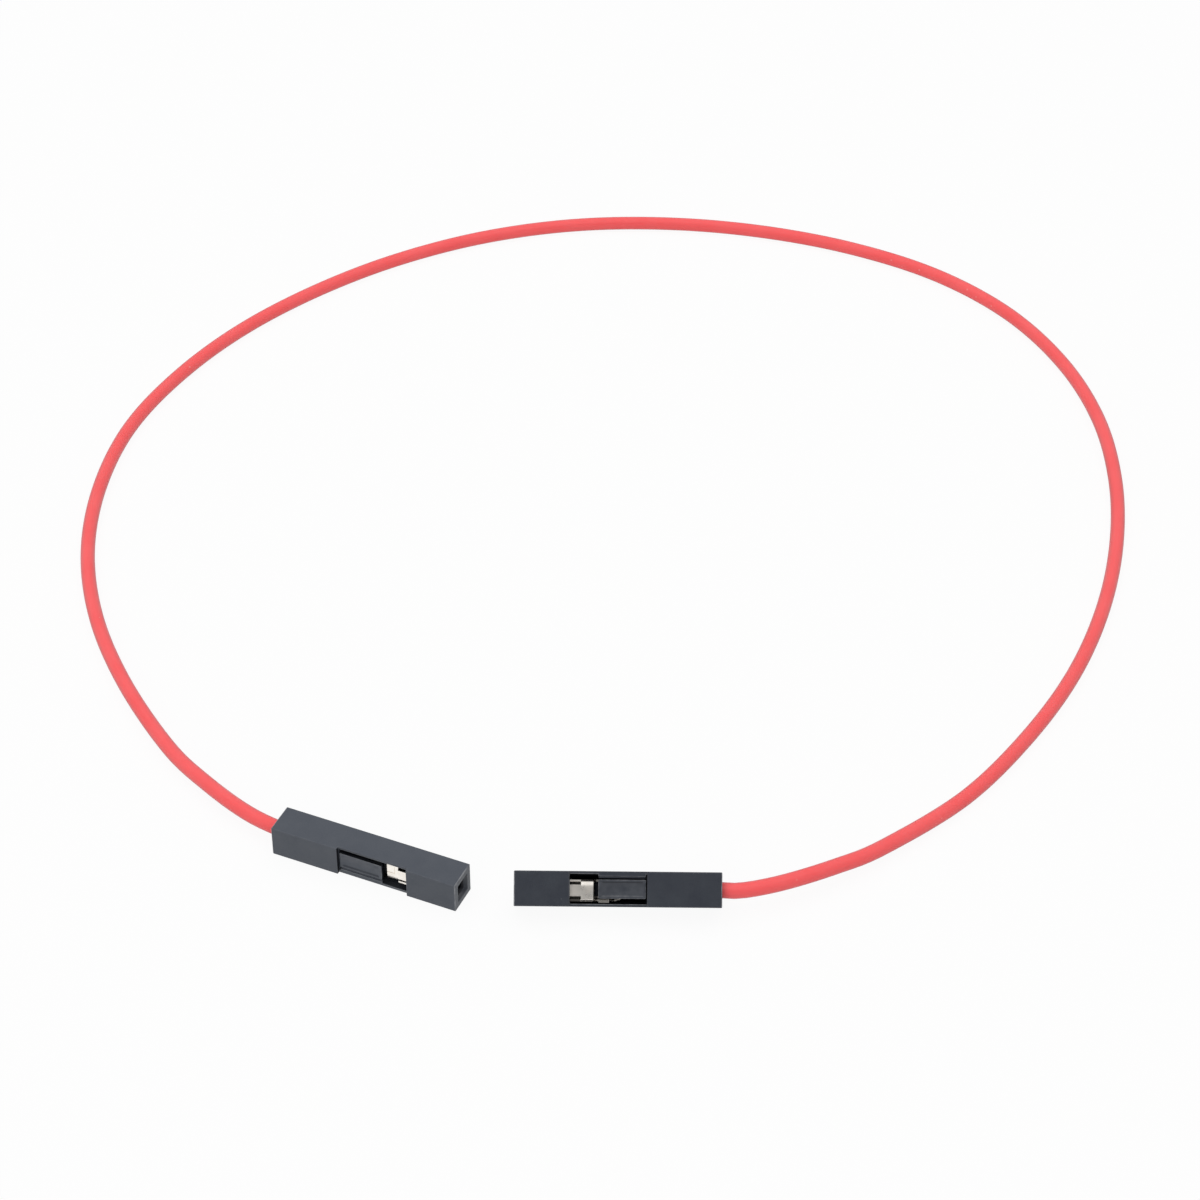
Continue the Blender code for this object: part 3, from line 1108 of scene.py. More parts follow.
    def _round_edges(self, body: bpy.types.Object) -> None:
        """Rounds each edge by its own amount, and marks the faces for painted highlight and for
        painted shade.

        Args:
            body: The housing, once its forms are cut.
        """
        bm = bmesh.new()
        bm.from_mesh(body.data)
        weights = bm.edges.layers.float.new("bevel_weight_edge")
        for edge in bm.edges:
            if edge.is_convex and edge.calc_face_angle() > math.radians(self.corner_angle):
                rounding = self._rounding(edge.verts[0].co, edge.verts[1].co)
                edge[weights] = rounding.value / Rounding.OUTER.value
        bm.to_mesh(body.data)
        bm.free()
        bevel = body.modifiers.new("edges", "BEVEL")
        bevel.limit_method = "WEIGHT"
        bevel.width = Rounding.OUTER.value
        bevel.segments = self.bevel_segments
        bevel.harden_normals = True
        bevel.use_clamp_overlap = False
        settle(body)
        # Marks the faces for painted highlight and for painted shade
        mark_faces(body.data, PAINTED_HIGHLIGHT_ATTRIBUTE, self._painted_highlight_share)
        mark_faces(body.data, PAINTED_SHADE_ATTRIBUTE, self._painted_shade_share)

    def _on_panel(self, point: Vector) -> bool:
        """Says whether a point is in the tongue's panel or on its outline.

        Args:
            point: A place in the housing.

        Returns:
            Whether it is.
        """
        rear, front = self.panel
        along = rear - TOUCH < point.x < front + TOUCH
        low = self.tongue_face - self.panel_depth
        return along and abs(point.y) < self.panel_half_width + TOUCH and point.z > low - TOUCH

    def _painted_shade_share(self, face: bpy.types.MeshPolygon) -> float:
        """Says how much painted shade a face gets: inside the housing, in the mouth, on the
        channel's rear wall and on the panel slope that faces +Y.

        Args:
            face: One face of the rounded housing.

        Returns:
            0 for an outer face, up to 1 for the faces with the most painted shade.
        """
        x, y, z = face.center
        if self._on_panel(face.center):
            return self.slope_shade if face.normal.y > self.slope_tilt else 0.0
        flat = abs(face.normal.x) > self.flat_tilt
        if flat and z > self.channel_floor and abs(x - self.channel[0]) < TOUCH:
            return self.wall_shade
        if x > self.length - self.mouth_lead_in + TOUCH:
            inside = max(abs(y), abs(z)) < self.mouth_half_width + self.mouth_lead_in
            return self.mouth_shade if inside and not flat else 0.0
        if z > self.groove_floor - TOUCH and y < 0:
            return 0.0
        inside = abs(y) < self.window_half_width + TOUCH
        inside = inside and abs(z) < self.channel_floor - Rounding.CUT.value
        return self.inner_shade if inside and x > Rounding.OUTER.value else 0.0

    def _painted_highlight_share(self, face: bpy.types.MeshPolygon) -> float:
        """Says how much painted highlight a face gets: on rounded edges, on the tongue and on the
        panel slope that faces -Y.

        Args:
            face: One face of the rounded housing.

        Returns:
            0 for a plain face, up to 1 for the edges with the most painted highlight.
        """
        across = max(abs(face.center.y), abs(face.center.z))
        from_end = min(face.center.x, self.length - face.center.x)
        slant = max(abs(part) for part in face.normal) < self.slant_tilt
        if slant and across > self.half_width - Rounding.OUTER.value:
            return self.end_highlight if from_end < Rounding.OUTER.value else self.long_highlight
        if self._on_panel(face.center):
            return self.slope_highlight if face.normal.y < -self.slope_tilt else self.panel_highlight
        if not self.channel[0] < face.center.x < self.channel[1]:
            return 0.0
        high = face.center.z > self.channel_floor - Rounding.CUT.value
        if high and not slant and abs(face.center.y) < self.tongue_half_width:
            return self.rim_highlight
        return self.cut_highlight if high and slant else 0.0

    def build(self) -> bpy.types.Object:
        """Builds the housing in its place.

        Returns:
            The finished housing.
        """
        half = self.half_width
        section = rectangle(-half, half, -half, half)
        name = f"moulded_housing_{self.place.end.value}"
        body = prism(name, section, "x", 0.0, self.length)
        cuts = [self._pocket(), self._mouth(), self._rear_lead(), self._channel(), self._window()]
        lines = [self._side_groove(), self._root_line(), self._panel()]
        combine(body, "DIFFERENCE", [*cuts, *lines])
        combine(body, "UNION", [self._catch()])
        body.data.shade_smooth()
        self._round_edges(body)
        self.place.put(body)
        body.data.materials.append(self.material)
        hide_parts(f"housing_{self.place.end.value}")
        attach(body, BODY)
        return body


@dataclass(frozen=True)
class Terminal:
    """The terminal folded from one strip: two crimp barrels and a contact box. Millimetres."""

    place: ConnectorPlace
    material: bpy.types.Material
    sheet: float = 0.15
    bend: float = 0.15
    let_in: float = 0.01
    half_points: int = 12
    cap_steps: int = 4
    fold_steps: int = 5
    wide_fold_steps: int = 12
    grip_radius: float = 0.665
    crimp_radius: float = 0.2955
    insulation_barrel: Point2 = (1.48, 3.28)
    wire_barrel: Point2 = (4.08, 6.08)
    jacket_end: float = 3.63
    bell_mouth: float = 0.035
    bell_slope: float = 3.0
    serration_depth: float = 0.018
    serration_places: tuple[float, ...] = (0.3, 0.5, 0.7)
    serration_half_width: float = 0.07
    slant: float = 0.05
    slant_steps: int = 4
    open_angle: float = 78.0
    closed_angle: float = 173.0
    flare_start: float = 7.43
    flare_side: float = 0.44
    flare_shares: tuple[float, ...] = (0.25, 0.5, 0.75, 1.0)
    rise: float = 0.45
    rise_shares: tuple[float, ...] = (0.33, 0.67, 1.0)
    box: Point2 = (8.88, 13.35)
    box_width: float = 1.50
    lean: float = 0.11
    box_top: float = 0.775
    shoulder_top: float = 0.28
    shoulder_end: float = 8.62
    side_drop: float = 0.04
    strap: float = 0.85
    front_strap: float = 0.45
    fold: float = 0.62
    fold_drop: float = 0.29
    lap_front: float = 0.60
    lap_half_width: float = 0.62
    lap_gap: float = 0.05
    notch: Point3 = (7.30, 8.70, 0.05)
    open_side: Point2 = (0.03, 0.45)
    ear: Point2 = (7.80, 8.52)
    ear_top: float = 0.30
    ear_side: float = 0.90
    beam_half_width: float = 0.40
    beam_thickness: float = 0.13
    beam_dip: float = 0.375
    beam_tip_gap: float = 0.20
    beam_points: int = 22
    beam_places: tuple[float, ...] = (0.0, 0.38, 0.50, 0.66, 0.78, 0.88, 1.0)
    beam_dips: tuple[float, ...] = (0.0, 0.0, 0.15, 0.75, 1.0, 0.8, 0.2)
    rib: Point2 = (11.25, 12.45)
    rib_half_width: float = 0.25
    rib_height: float = 0.23
    sharp_angle: float = 32.0
    # Painted shade inside the box and on the ear and shoulders behind it; faces within this many
    # sheets of the box top stay unshaded
    lit_sheets: float = 1.5
    box_shade: float = 0.85
    ear_shade: float = 0.3

    @property
    def half(self) -> float:
        """The distance from the axis to the middle of a side wall."""
        return (self.box_width - self.sheet) / 2

    @property
    def floor(self) -> float:
        """The height of the floor's middle."""
        return -self.grip_radius

    def _barrel_line(self, radius: float, half_angle: float) -> list[Point2]:
        """Lays the sheet's middle line round a barrel.

        Args:
            radius: The radius of the middle line.
            half_angle: How far it goes round to each side, in degrees.

        Returns:
            Its points across the axis, from one free edge to the other.
        """
        half_angle = math.radians(half_angle)
        count = self.half_points
        angles = [half_angle * k / count for k in range(-count, count + 1)]
        return [(radius * math.sin(a), -radius * math.cos(a)) for a in angles]

    def _trough_line(self, height: float) -> list[Point2]:
        """Lays the sheet's middle line as a trough with rounded folds.

        Args:
            height: How high its sides reach.

        Returns:
            Its points across the axis, from one free edge to the other.
        """
        centre = (self.half - self.bend, self.floor + self.bend)
        fold = arc(centre, self.bend, -90, 0, self.fold_steps)
        rest = self.half_points + 1 - len(fold) - 2
        rise = (height - centre[1]) / rest
        sides = [(self.half, centre[1] + rise * k) for k in range(1, rest + 1)]
        right = [(0.0, self.floor), (self.half / 2, self.floor), *fold, *sides]
        return [(-u, v) for u, v in right[:0:-1]] + right

    def _thickened(self, line: list[Point2]) -> list[Point2]:
        """Gives a middle line the sheet's thickness.

        Args:
            line: Points along the middle line.

        Returns:
            A closed outline round it, with rounded free edges.
        """
        points = [Vector(point) for point in line]
        sides = [(b - a).normalized() for a, b in zip(points, points[1:])]
        normals = [Vector((side.y, -side.x)) for side in sides]
        outer, inner = [], []
        for i, point in enumerate(points):
            before = normals[max(i - 1, 0)]
            after = normals[min(i, len(normals) - 1)]
            mitre = (before + after).normalized()
            offset = mitre * (self.sheet / 2 / mitre.dot(after))
            outer.append(point + offset)
            inner.append(point - offset)
        return [*outer, *self._cap(points[-1], normals[-1], sides[-1]), *inner[::-1],
                *self._cap(points[0], -normals[0], -sides[0])]

    def _cap(self, point: Vector, normal: Vector, outward: Vector) -> list[Vector]:
        """Rounds a free edge.

        Args:
            point: The end of the middle line.
            normal: The direction across the sheet there.
            outward: The direction out of its edge.

        Returns:
            The points between its two faces.
        """
        depth = self.sheet / 4
        turns = [math.pi * k / self.cap_steps for k in range(1, self.cap_steps)]
        half = self.sheet / 2
        return [
            point + normal * half * math.cos(a) + outward * depth * math.sin(a) for a in turns
        ]

    def _barrel(
        self, radius: float, ends: Point2, grooves: tuple[float, ...]
    ) -> list[Station]:
        """Stations along a closed barrel, with its slanted ends, bell mouths and grooves.

        Args:
            radius: The radius of the sheet's middle.
            ends: Where the barrel starts and stops.
            grooves: Where its serrations lie, as shares of its length.

        Returns:
            Each station's place and middle line.
        """
        rear, front = ends
        spread = self.closed_angle - self.open_angle
        steps = self.slant_steps
        slanting = [(k / steps, self.open_angle + spread * (k + 1) / steps) for k in range(steps)]
        wide = radius + self.bell_mouth
        flare = self.bell_slope * self.bell_mouth
        stations = [
            (rear + self.slant * share, self._barrel_line(wide, angle)) for share, angle in slanting
        ]
        closed = [(rear + self.slant + flare, radius)]
        for share in grooves:
            place = rear + (front - rear) * share
            width = self.serration_half_width
            low = radius - self.serration_depth
            closed += [(place - width, radius), (place - width / 2, low)]
            closed += [(place + width / 2, low), (place + width, radius)]
        closed.append((front - self.slant - flare, radius))
        stations += [(x, self._barrel_line(r, self.closed_angle)) for x, r in closed]
        stations += [
            (front - self.slant * share, self._barrel_line(wide, angle))
            for share, angle in reversed(slanting)
        ]
        return stations

    def _stations(self) -> list[Station]:
        """Lists the sections from the insulation barrel to the nose.

        Returns:
            Each station's place and middle line.
        """
        flat = self.open_angle
        wire_rear, wire_front = self.wire_barrel
        stations = self._barrel(self.grip_radius, self.insulation_barrel, ())
        stations.append((self.jacket_end, self._barrel_line(self.grip_radius, flat)))
        stations.append((wire_rear - self.slant, self._barrel_line(self.crimp_radius, flat)))
        stations += self._barrel(self.crimp_radius, self.wire_barrel, self.serration_places)
        neck = np.array(self._barrel_line(self.crimp_radius, flat))
        flare = np.array(self._trough_line(self.flare_side + self.floor))
        stations.append((wire_front + self.slant, [tuple(row) for row in neck]))
        for share in self.flare_shares:
            x = wire_front + (self.flare_start - wire_front) * share
            stations.append((x, [tuple(row) for row in neck + (flare - neck) * ease(share)]))
        top = self.box_top - self.side_drop
        low = self.flare_side + self.floor
        for share in self.rise_shares:
            x = self.flare_start + self.rise * share
            height = low + (self.shoulder_top - low) * ease(share)
            stations.append((x, self._trough_line(height)))
        stations.append((self.shoulder_end, self._trough_line(self.shoulder_top)))
        stations += [(x, self._trough_line(top)) for x in self.box]
        return stations

    @property
    def strap_ends(self) -> tuple[Point2, Point2]:
        """Where the rear strap and the front strap start and stop."""
        rear, front = self.box
        return (rear, rear + self.strap), (front - self.front_strap, front - self.let_in)

    def _folds(self) -> tuple[list[Point2], list[Point2]]:
        """The rounded folds of a strap, a wide one on one side and a tight one on the other.

        Returns:
            The wide fold's points and the tight fold's points.
        """
        side = self.box_width / 2 - self.let_in
        wide = [
            (-side + self.fold * (1 + u), self.box_top - self.fold_drop * (1 - v))
            for u, v in arc((0.0, 0.0), 1.0, 180, 90, self.wide_fold_steps)
        ]
        centre = (side - self.bend, self.box_top - self.bend)
        tight = arc(centre, self.bend, 90, 0, self.fold_steps)
        return wide, tight

    def _strap_form(self, ends: Point2) -> bpy.types.Object:
        """A strap folded over the box, with a rounded fold at each side.

        Args:
            ends: Where the strap starts and stops.

        Returns:
            The form to add.
        """
        wide, tight = self._folds()
        last = (tight[-1][0] - self.sheet, self.box_top - self.fold_drop)
        return prism("strap", [*wide, *tight, last], "x", *ends)

    def _fold_cutters(self, ends: Point2) -> list[bpy.types.Object]:
        """What trims the walls' tops outside a strap's two folds.

        Args:
            ends: Where the strap starts and stops.

        Returns:
            The cutter for each side.
        """
        wide, tight = self._folds()
        above = self.box_top + self.sheet
        out = self.box_width
        left = [*wide, (wide[-1][0], above), (-out, above), (-out, wide[0][1])]
        right = [*tight, (out, tight[-1][1]), (out, above), (tight[0][0], above)]
        return [prism("left_trim", left, "x", *ends), prism("right_trim", right, "x", *ends)]

    def _lap_cutter(self) -> bpy.types.Object:
        """The narrow gap round the end of the sheet that laps over the rear strap.

        Returns:
            The cutter.
        """
        rear = self.box[0]
        front = rear + self.lap_front
        wide, gap = self.lap_half_width, self.lap_gap
        outline = [
            (rear - gap, 0.0),
            (front, 0.0),
            (front, wide),
            (front - gap, wide),
            (front - gap, gap),
            (rear - gap, gap),
        ]
        return prism("lap_cutter", outline, "z", self.box_top - self.sheet / 3, self.box_top + gap)

    def _side_cutter(self) -> bpy.types.Object:
        """The opening in one side wall between the two straps, beside the beam.

        Returns:
            The cutter.
        """
        setback, low = self.open_side
        rear = self.box[0] + self.strap + setback
        front = self.box[1] - self.front_strap - setback
        inner = self.half - self.sheet
        outline = rectangle(rear, front, self.box_top - low, self.box_top + self.sheet)
        return prism("side_cutter", outline, "y", inner, self.box_width)

    def _notch_cutter(self) -> bpy.types.Object:
        """The low stretch of the other side wall, behind the box.

        Returns:
            The cutter.
        """
        rear, front, low = self.notch
        outline = rectangle(rear, front, low, self.box_top + self.sheet)
        return prism("notch_cutter", outline, "y", -self.box_width, self.sheet - self.half)

    def _lean_aside(self, mesh: bpy.types.Mesh) -> None:
        """Sets the box a little off the axis, by way of the stretch behind it.

        Args:
            mesh: The terminal's mesh, in local millimetres.
        """
        neck = self.wire_barrel[1]
        for vertex in mesh.vertices:
            share = (vertex.co.x - neck) / (self.flare_start - neck)
            vertex.co.y += self.lean * min(max(share, 0.0), 1.0)

    def _painted_shade_share(self, face: bpy.types.MeshPolygon) -> float:
        """Says how much painted shade a face gets for lying inside the box or behind it.

        Args:
            face: One face of the terminal.

        Returns:
            0 for an outer face, up to 1 for the darkest inner ones.
        """
        x, _, z = face.center
        if x < self.flare_start or z > self.box_top - self.lit_sheets * self.sheet:
            return 0.0
        return self.box_shade if x > self.shoulder_end else self.ear_shade

    def _ear_form(self) -> bpy.types.Object:
        """The ear that stands out of one side behind the box and steadies the terminal.

        Returns:
            The form to add.
        """
        side, top = self.ear_side, self.ear_top
        outline = [
            (self.half, top - 2 * self.sheet),
            (side, top - 2 * self.sheet),
            (side, top - self.sheet / 2),
            (side - self.sheet / 2, top),
            (self.half - self.sheet / 2, top),
        ]
        return prism("ear", outline, "x", *self.ear)

    def _beam_form(self) -> bpy.types.Object:
        """The contact beam, which dips to touch the pin and lifts at its tip.

        Returns:
            The form to add.
        """
        rear = self.box[0] + self.strap - self.let_in
        tip = self.box[1] - self.front_strap - self.beam_tip_gap
        top = self.box_top - self.let_in
        shares = np.linspace(0.0, 1.0, self.beam_points)
        dips = np.interp(shares, self.beam_places, self.beam_dips)
        upper = [(rear + (tip - rear) * s, top - self.beam_dip * d) for s, d in zip(shares, dips)]
        lower = [(x, z - self.beam_thickness) for x, z in reversed(upper)]
        side = self.beam_half_width
        return prism("beam", upper + lower, "y", -side, side)

    def _rib_form(self) -> bpy.types.Object:
        """The rib pressed up from the box's floor.

        Returns:
            The form to add.
        """
        base = self.floor + self.sheet / 2
        rear, front = self.rib
        rise = self.rib_height
        outline = [(rear, base - self.let_in), (front, base - self.let_in),
                   (front - rise, base + rise), (rear + rise, base + rise)]
        return prism("rib", outline, "y", -self.rib_half_width, self.rib_half_width)

    def build(self) -> bpy.types.Object:
        """Builds the terminal in its place.

        Returns:
            The finished terminal.
        """
        rings = [
            [(x, point[0], point[1]) for point in self._thickened(line)]
            for x, line in self._stations()
        ]
        body = loft(f"folded_terminal_{self.place.end.value}", rings)
        trims = [trim for ends in self.strap_ends for trim in self._fold_cutters(ends)]
        combine(body, "DIFFERENCE", trims)
        forms = [
            *(self._strap_form(ends) for ends in self.strap_ends),
            self._beam_form(),
            self._rib_form(),
            self._ear_form(),
        ]
        combine(body, "UNION", forms)
        cutters = [self._lap_cutter(), self._side_cutter(), self._notch_cutter()]
        combine(body, "DIFFERENCE", cutters)
        self._lean_aside(body.data)
        # Marks the faces for painted shade
        mark_faces(body.data, PAINTED_SHADE_ATTRIBUTE, self._painted_shade_share)
        body.data.shade_smooth()
        body.data.set_sharp_from_angle(angle=math.radians(self.sharp_angle))
        self.place.put(body)
        body.data.materials.append(self.material)
        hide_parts(f"terminal_{self.place.end.value}")
        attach(body, BODY)
        return body


# Wire


def laid_tube_tree() -> bpy.types.NodeTree:
    """Builds the Geometry Nodes tree that runs a round tube along a line of edges.

    The tube can lie beside the line and turn round it, as a strand does in its lay. Each point
    keeps its place in the tube's own coordinates, in millimetres: across, across and along.

    Returns:
        The tree.
    """
    tree, start, end = add_group(
        "laid_tube",
        "GeometryNodeTree",
        {
            "Geometry": ("NodeSocketGeometry", None),
            "Step": ("NodeSocketFloat", 1.0 * MM),
            "Radius": ("NodeSocketFloat", 0.5 * MM),
            "Sides": ("NodeSocketInt", 16),
            "Lay Radius": ("NodeSocketFloat", 0.0),
            "Lay Length": ("NodeSocketFloat", 10.0 * MM),
            "Turn": ("NodeSocketFloat", 0.0),
            "Caps": ("NodeSocketBool", False),
            "Material": ("NodeSocketMaterial", None),
        },
        {"Geometry": "NodeSocketGeometry"},
    )

    def maths(operation: str, *values: object) -> bpy.types.NodeSocket:
        """One Math node's result."""
        inputs = dict(enumerate(values))
        return add_node(tree, "ShaderNodeMath", inputs, operation=operation).outputs[0]

    def vectors(operation: str, inputs: dict) -> bpy.types.NodeSocket:
        """One Vector Math node's result."""
        return add_node(tree, "ShaderNodeVectorMath", inputs, operation=operation).outputs[0]

    line = add_node(tree, "GeometryNodeMeshToCurve", {"Mesh": start.outputs["Geometry"]})
    level = add_node(
        tree, "GeometryNodeSetCurveNormal", {"Curve": line.outputs[0]}, mode="Z_UP"
    )
    even = add_node(
        tree,
        "GeometryNodeResampleCurve",
        {"Curve": level.outputs[0], "Length": start.outputs["Step"]},
        mode="LENGTH",
    )
    travel = add_node(tree, "GeometryNodeSplineParameter").outputs["Length"]
    share = maths("DIVIDE", travel, start.outputs["Lay Length"])
    angle = maths("MULTIPLY_ADD", share, 2 * math.pi, start.outputs["Turn"])
    side = add_node(tree, "GeometryNodeInputNormal").outputs["Normal"]
    forward = add_node(tree, "GeometryNodeInputTangent").outputs[0]
    up = vectors("CROSS_PRODUCT", {0: side, 1: forward})
    radius = start.outputs["Lay Radius"]
    aside, above = (maths("MULTIPLY", maths(turn, angle), radius) for turn in ("COSINE", "SINE"))
    sideways = vectors("SCALE", {0: side, "Scale": aside})
    upwards = vectors("SCALE", {0: up, "Scale": above})
    laid = add_node(
        tree,
        "GeometryNodeSetPosition",
        {"Geometry": even.outputs[0], "Offset": vectors("ADD", {0: sideways, 1: upwards})},
    )
    along = add_node(tree, "GeometryNodeCaptureAttribute", domain="POINT")
    along.capture_items.new("FLOAT", "Along")
    tree.links.new(laid.outputs[0], along.inputs["Geometry"])
    tree.links.new(travel, along.inputs["Along"])
    ring = add_node(
        tree,
        "GeometryNodeCurvePrimitiveCircle",
        {"Resolution": start.outputs["Sides"], "Radius": start.outputs["Radius"]},
    )
    across = add_node(tree, "GeometryNodeCaptureAttribute", domain="POINT")
    across.capture_items.new("VECTOR", "Across")
    tree.links.new(ring.outputs[0], across.inputs["Geometry"])
    tree.links.new(add_node(tree, "GeometryNodeInputPosition").outputs[0], across.inputs["Across"])
    tube = add_node(
        tree,
        "GeometryNodeCurveToMesh",
        {
            "Curve": along.outputs["Geometry"],
            "Profile Curve": across.outputs["Geometry"],
            "Fill Caps": start.outputs["Caps"],
        },
    )
    lengthwise = add_node(tree, "ShaderNodeCombineXYZ", {2: along.outputs["Along"]})
    both = vectors("ADD", {0: across.outputs["Across"], 1: lengthwise.outputs[0]})
    in_mm = vectors("SCALE", {0: both, "Scale": 1 / MM})
    stored = add_node(
        tree,
        "GeometryNodeStoreNamedAttribute",
        {"Geometry": tube.outputs[0], "Name": LAY_MM, "Value": in_mm},
        data_type="FLOAT_VECTOR",
        domain="POINT",
    )
    smooth = add_node(tree, "GeometryNodeSetShadeSmooth", {"Geometry": stored.outputs[0]})
    real = add_node(tree, "GeometryNodeRealizeInstances", {"Geometry": smooth.outputs[0]})
    dressed = add_node(
        tree,
        "GeometryNodeSetMaterial",
        {"Geometry": real.outputs[0], "Material": start.outputs["Material"]},
    )
    tree.links.new(dressed.outputs[0], end.inputs["Geometry"])
    return tree


@dataclass(frozen=True)
class Wire:
    """The insulated wire: its jacket, and the strands twisted inside it. Metres."""

    places: dict[End, ConnectorPlace]
    vinyl: bpy.types.Material
    tinned: bpy.types.Material
    tree: bpy.types.NodeTree = field(default_factory=laid_tube_tree)
    diameter: float = 1.12 * MM
    wall: float = 0.335 * MM
    resting_gap: float = 0.02 * MM
    span_steps: int = 8
    straight_b: Point2 = (0.15 * MM, -1.45 * MM)
    straight_a: Point2 = (1.0 * MM, 1.5 * MM)
    jacket_reach: float = 3.63 * MM
    jacket_step: float = 0.75 * MM
    jacket_sides: int = 32
    end_round: float = 0.05 * MM
    end_segments: int = 2
    end_angle: float = 60.0
    strand_reach: float = 6.48 * MM
    strand_diameter: float = 0.127 * MM
    strand_pitch: float = 0.137 * MM
    strand_step: float = 0.5 * MM
    strand_sides: int = 8
    outer_strands: int = 6
    lay_length: float = 9.0 * MM

    def _smooth_curve(self, points: list[np.ndarray]) -> np.ndarray:
        """Runs a Catmull-Rom curve through points.

        Args:
            points: The points that it passes, in order.

        Returns:
            Points along the curve, with a fixed number of steps to each span.
        """
        ends = [2 * points[0] - points[1], *points, 2 * points[-1] - points[-2]]
        curve = []
        for p0, p1, p2, p3 in zip(ends, ends[1:], ends[2:], ends[3:]):
            for t in (k / self.span_steps for k in range(self.span_steps)):
                bend = 2 * p0 - 5 * p1 + 4 * p2 - p3
                twist = 3 * p1 - p0 - 3 * p2 + p3
                curve.append(0.5 * (2 * p1 + t * (p2 - p0) + t**2 * bend + t**3 * twist))
        return np.array([*curve, points[-1]])

    def path(self, reach: float) -> np.ndarray:
        """The wire's middle line.

        Args:
            reach: How far it goes into each connector, in metres.

        Returns:
            Points from inside connector b to inside connector a.
        """
        rest = self.diameter / 2 + self.resting_gap
        lying = [np.array((x * MM, y * MM, rest + lift * MM)) for x, y, lift in ROUTE]
        a, b = self.places[End.A], self.places[End.B]
        run = [b.axis_point(x) for x in self.straight_b]
        home = [a.axis_point(x) for x in self.straight_a]
        free = self._smooth_curve([*run, *lying, *home])
        return np.array([b.axis_point(reach), *free, a.axis_point(reach)])

    def _tube(self, name: str, path: np.ndarray, settings: dict[str, object]) -> bpy.types.Object:
        """Runs a tube along a path with the Geometry Nodes tree.

        Args:
            name: The object's name.
            path: The points that it follows.
            settings: Values for the tree's inputs, by name.

        Returns:
            The tube, as a plain mesh.
        """
        mesh = bpy.data.meshes.new(name)
        edges = [(i, i + 1) for i in range(len(path) - 1)]
        mesh.from_pydata([tuple(point) for point in path], edges, [])
        tube = new_object(name, mesh)
        modifier = tube.modifiers.new("laid_tube", "NODES")
        modifier.node_group = self.tree
        sockets = {item.name: item.identifier for item in self.tree.interface.items_tree
                   if item.in_out == "INPUT"}
        for key, value in settings.items():
            modifier[sockets[key]] = value
        settle(tube)
        return tube

    def _jacket(self) -> bpy.types.Object:
        """The red insulation, open over its bore and cut square at both ends.

        Returns:
            The jacket.
        """
        path = self.path(self.jacket_reach)
        jacket = self._tube(
            "wire_insulation",
            path,
            {
                "Step": self.jacket_step,
                "Radius": self.diameter / 2,
                "Sides": self.jacket_sides,
                "Material": self.vinyl,
            },
        )
        wall = jacket.modifiers.new("wall", "SOLIDIFY")
        wall.thickness = self.wall
        wall.offset = -1.0
        wall.use_rim = True
        ends = jacket.modifiers.new("cut_ends", "BEVEL")
        ends.width = self.end_round
        ends.segments = self.end_segments
        ends.limit_method = "ANGLE"
        ends.angle_limit = math.radians(self.end_angle)
        settle(jacket)
        length = float(np.linalg.norm(np.diff(path, axis=0), axis=1).sum())
        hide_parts("wire_jacket")
        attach(jacket, BODY)
        log.info("wire_insulation follows a line of %.1f mm", length / MM)
        return jacket

    def _strand(self, number: int) -> bpy.types.Object:
        """Builds a strand: the first is the straight core and the others turn round it.

        Args:
            number: Which strand, from 1.

        Returns:
            The strand.
        """
        outer = number > 1
        strand = self._tube(
            f"laid_strand_{number}",
            self.path(self.strand_reach),
            {
                "Step": self.strand_step,
                "Radius": self.strand_diameter / 2,
                "Sides": self.strand_sides,
                "Lay Radius": self.strand_pitch if outer else 0.0,
                "Lay Length": self.lay_length,
                "Turn": 2 * math.pi * (number - 2) / self.outer_strands,
                "Caps": True,
                "Material": self.tinned,
            },
        )
        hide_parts(f"strand_{number}")
        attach(strand, BODY)
        return strand

    def build(self) -> list[bpy.types.Object]:
        """Returns:
            The jacket, then the strands.
        """
        jacket = self._jacket()
        strands = [self._strand(number) for number in range(1, self.outer_strands + 2)]
        path = self.path(self.jacket_reach)
        tuple(self.places[End.B].axis_point(0.0))
        return [jacket, *strands]


# Studio


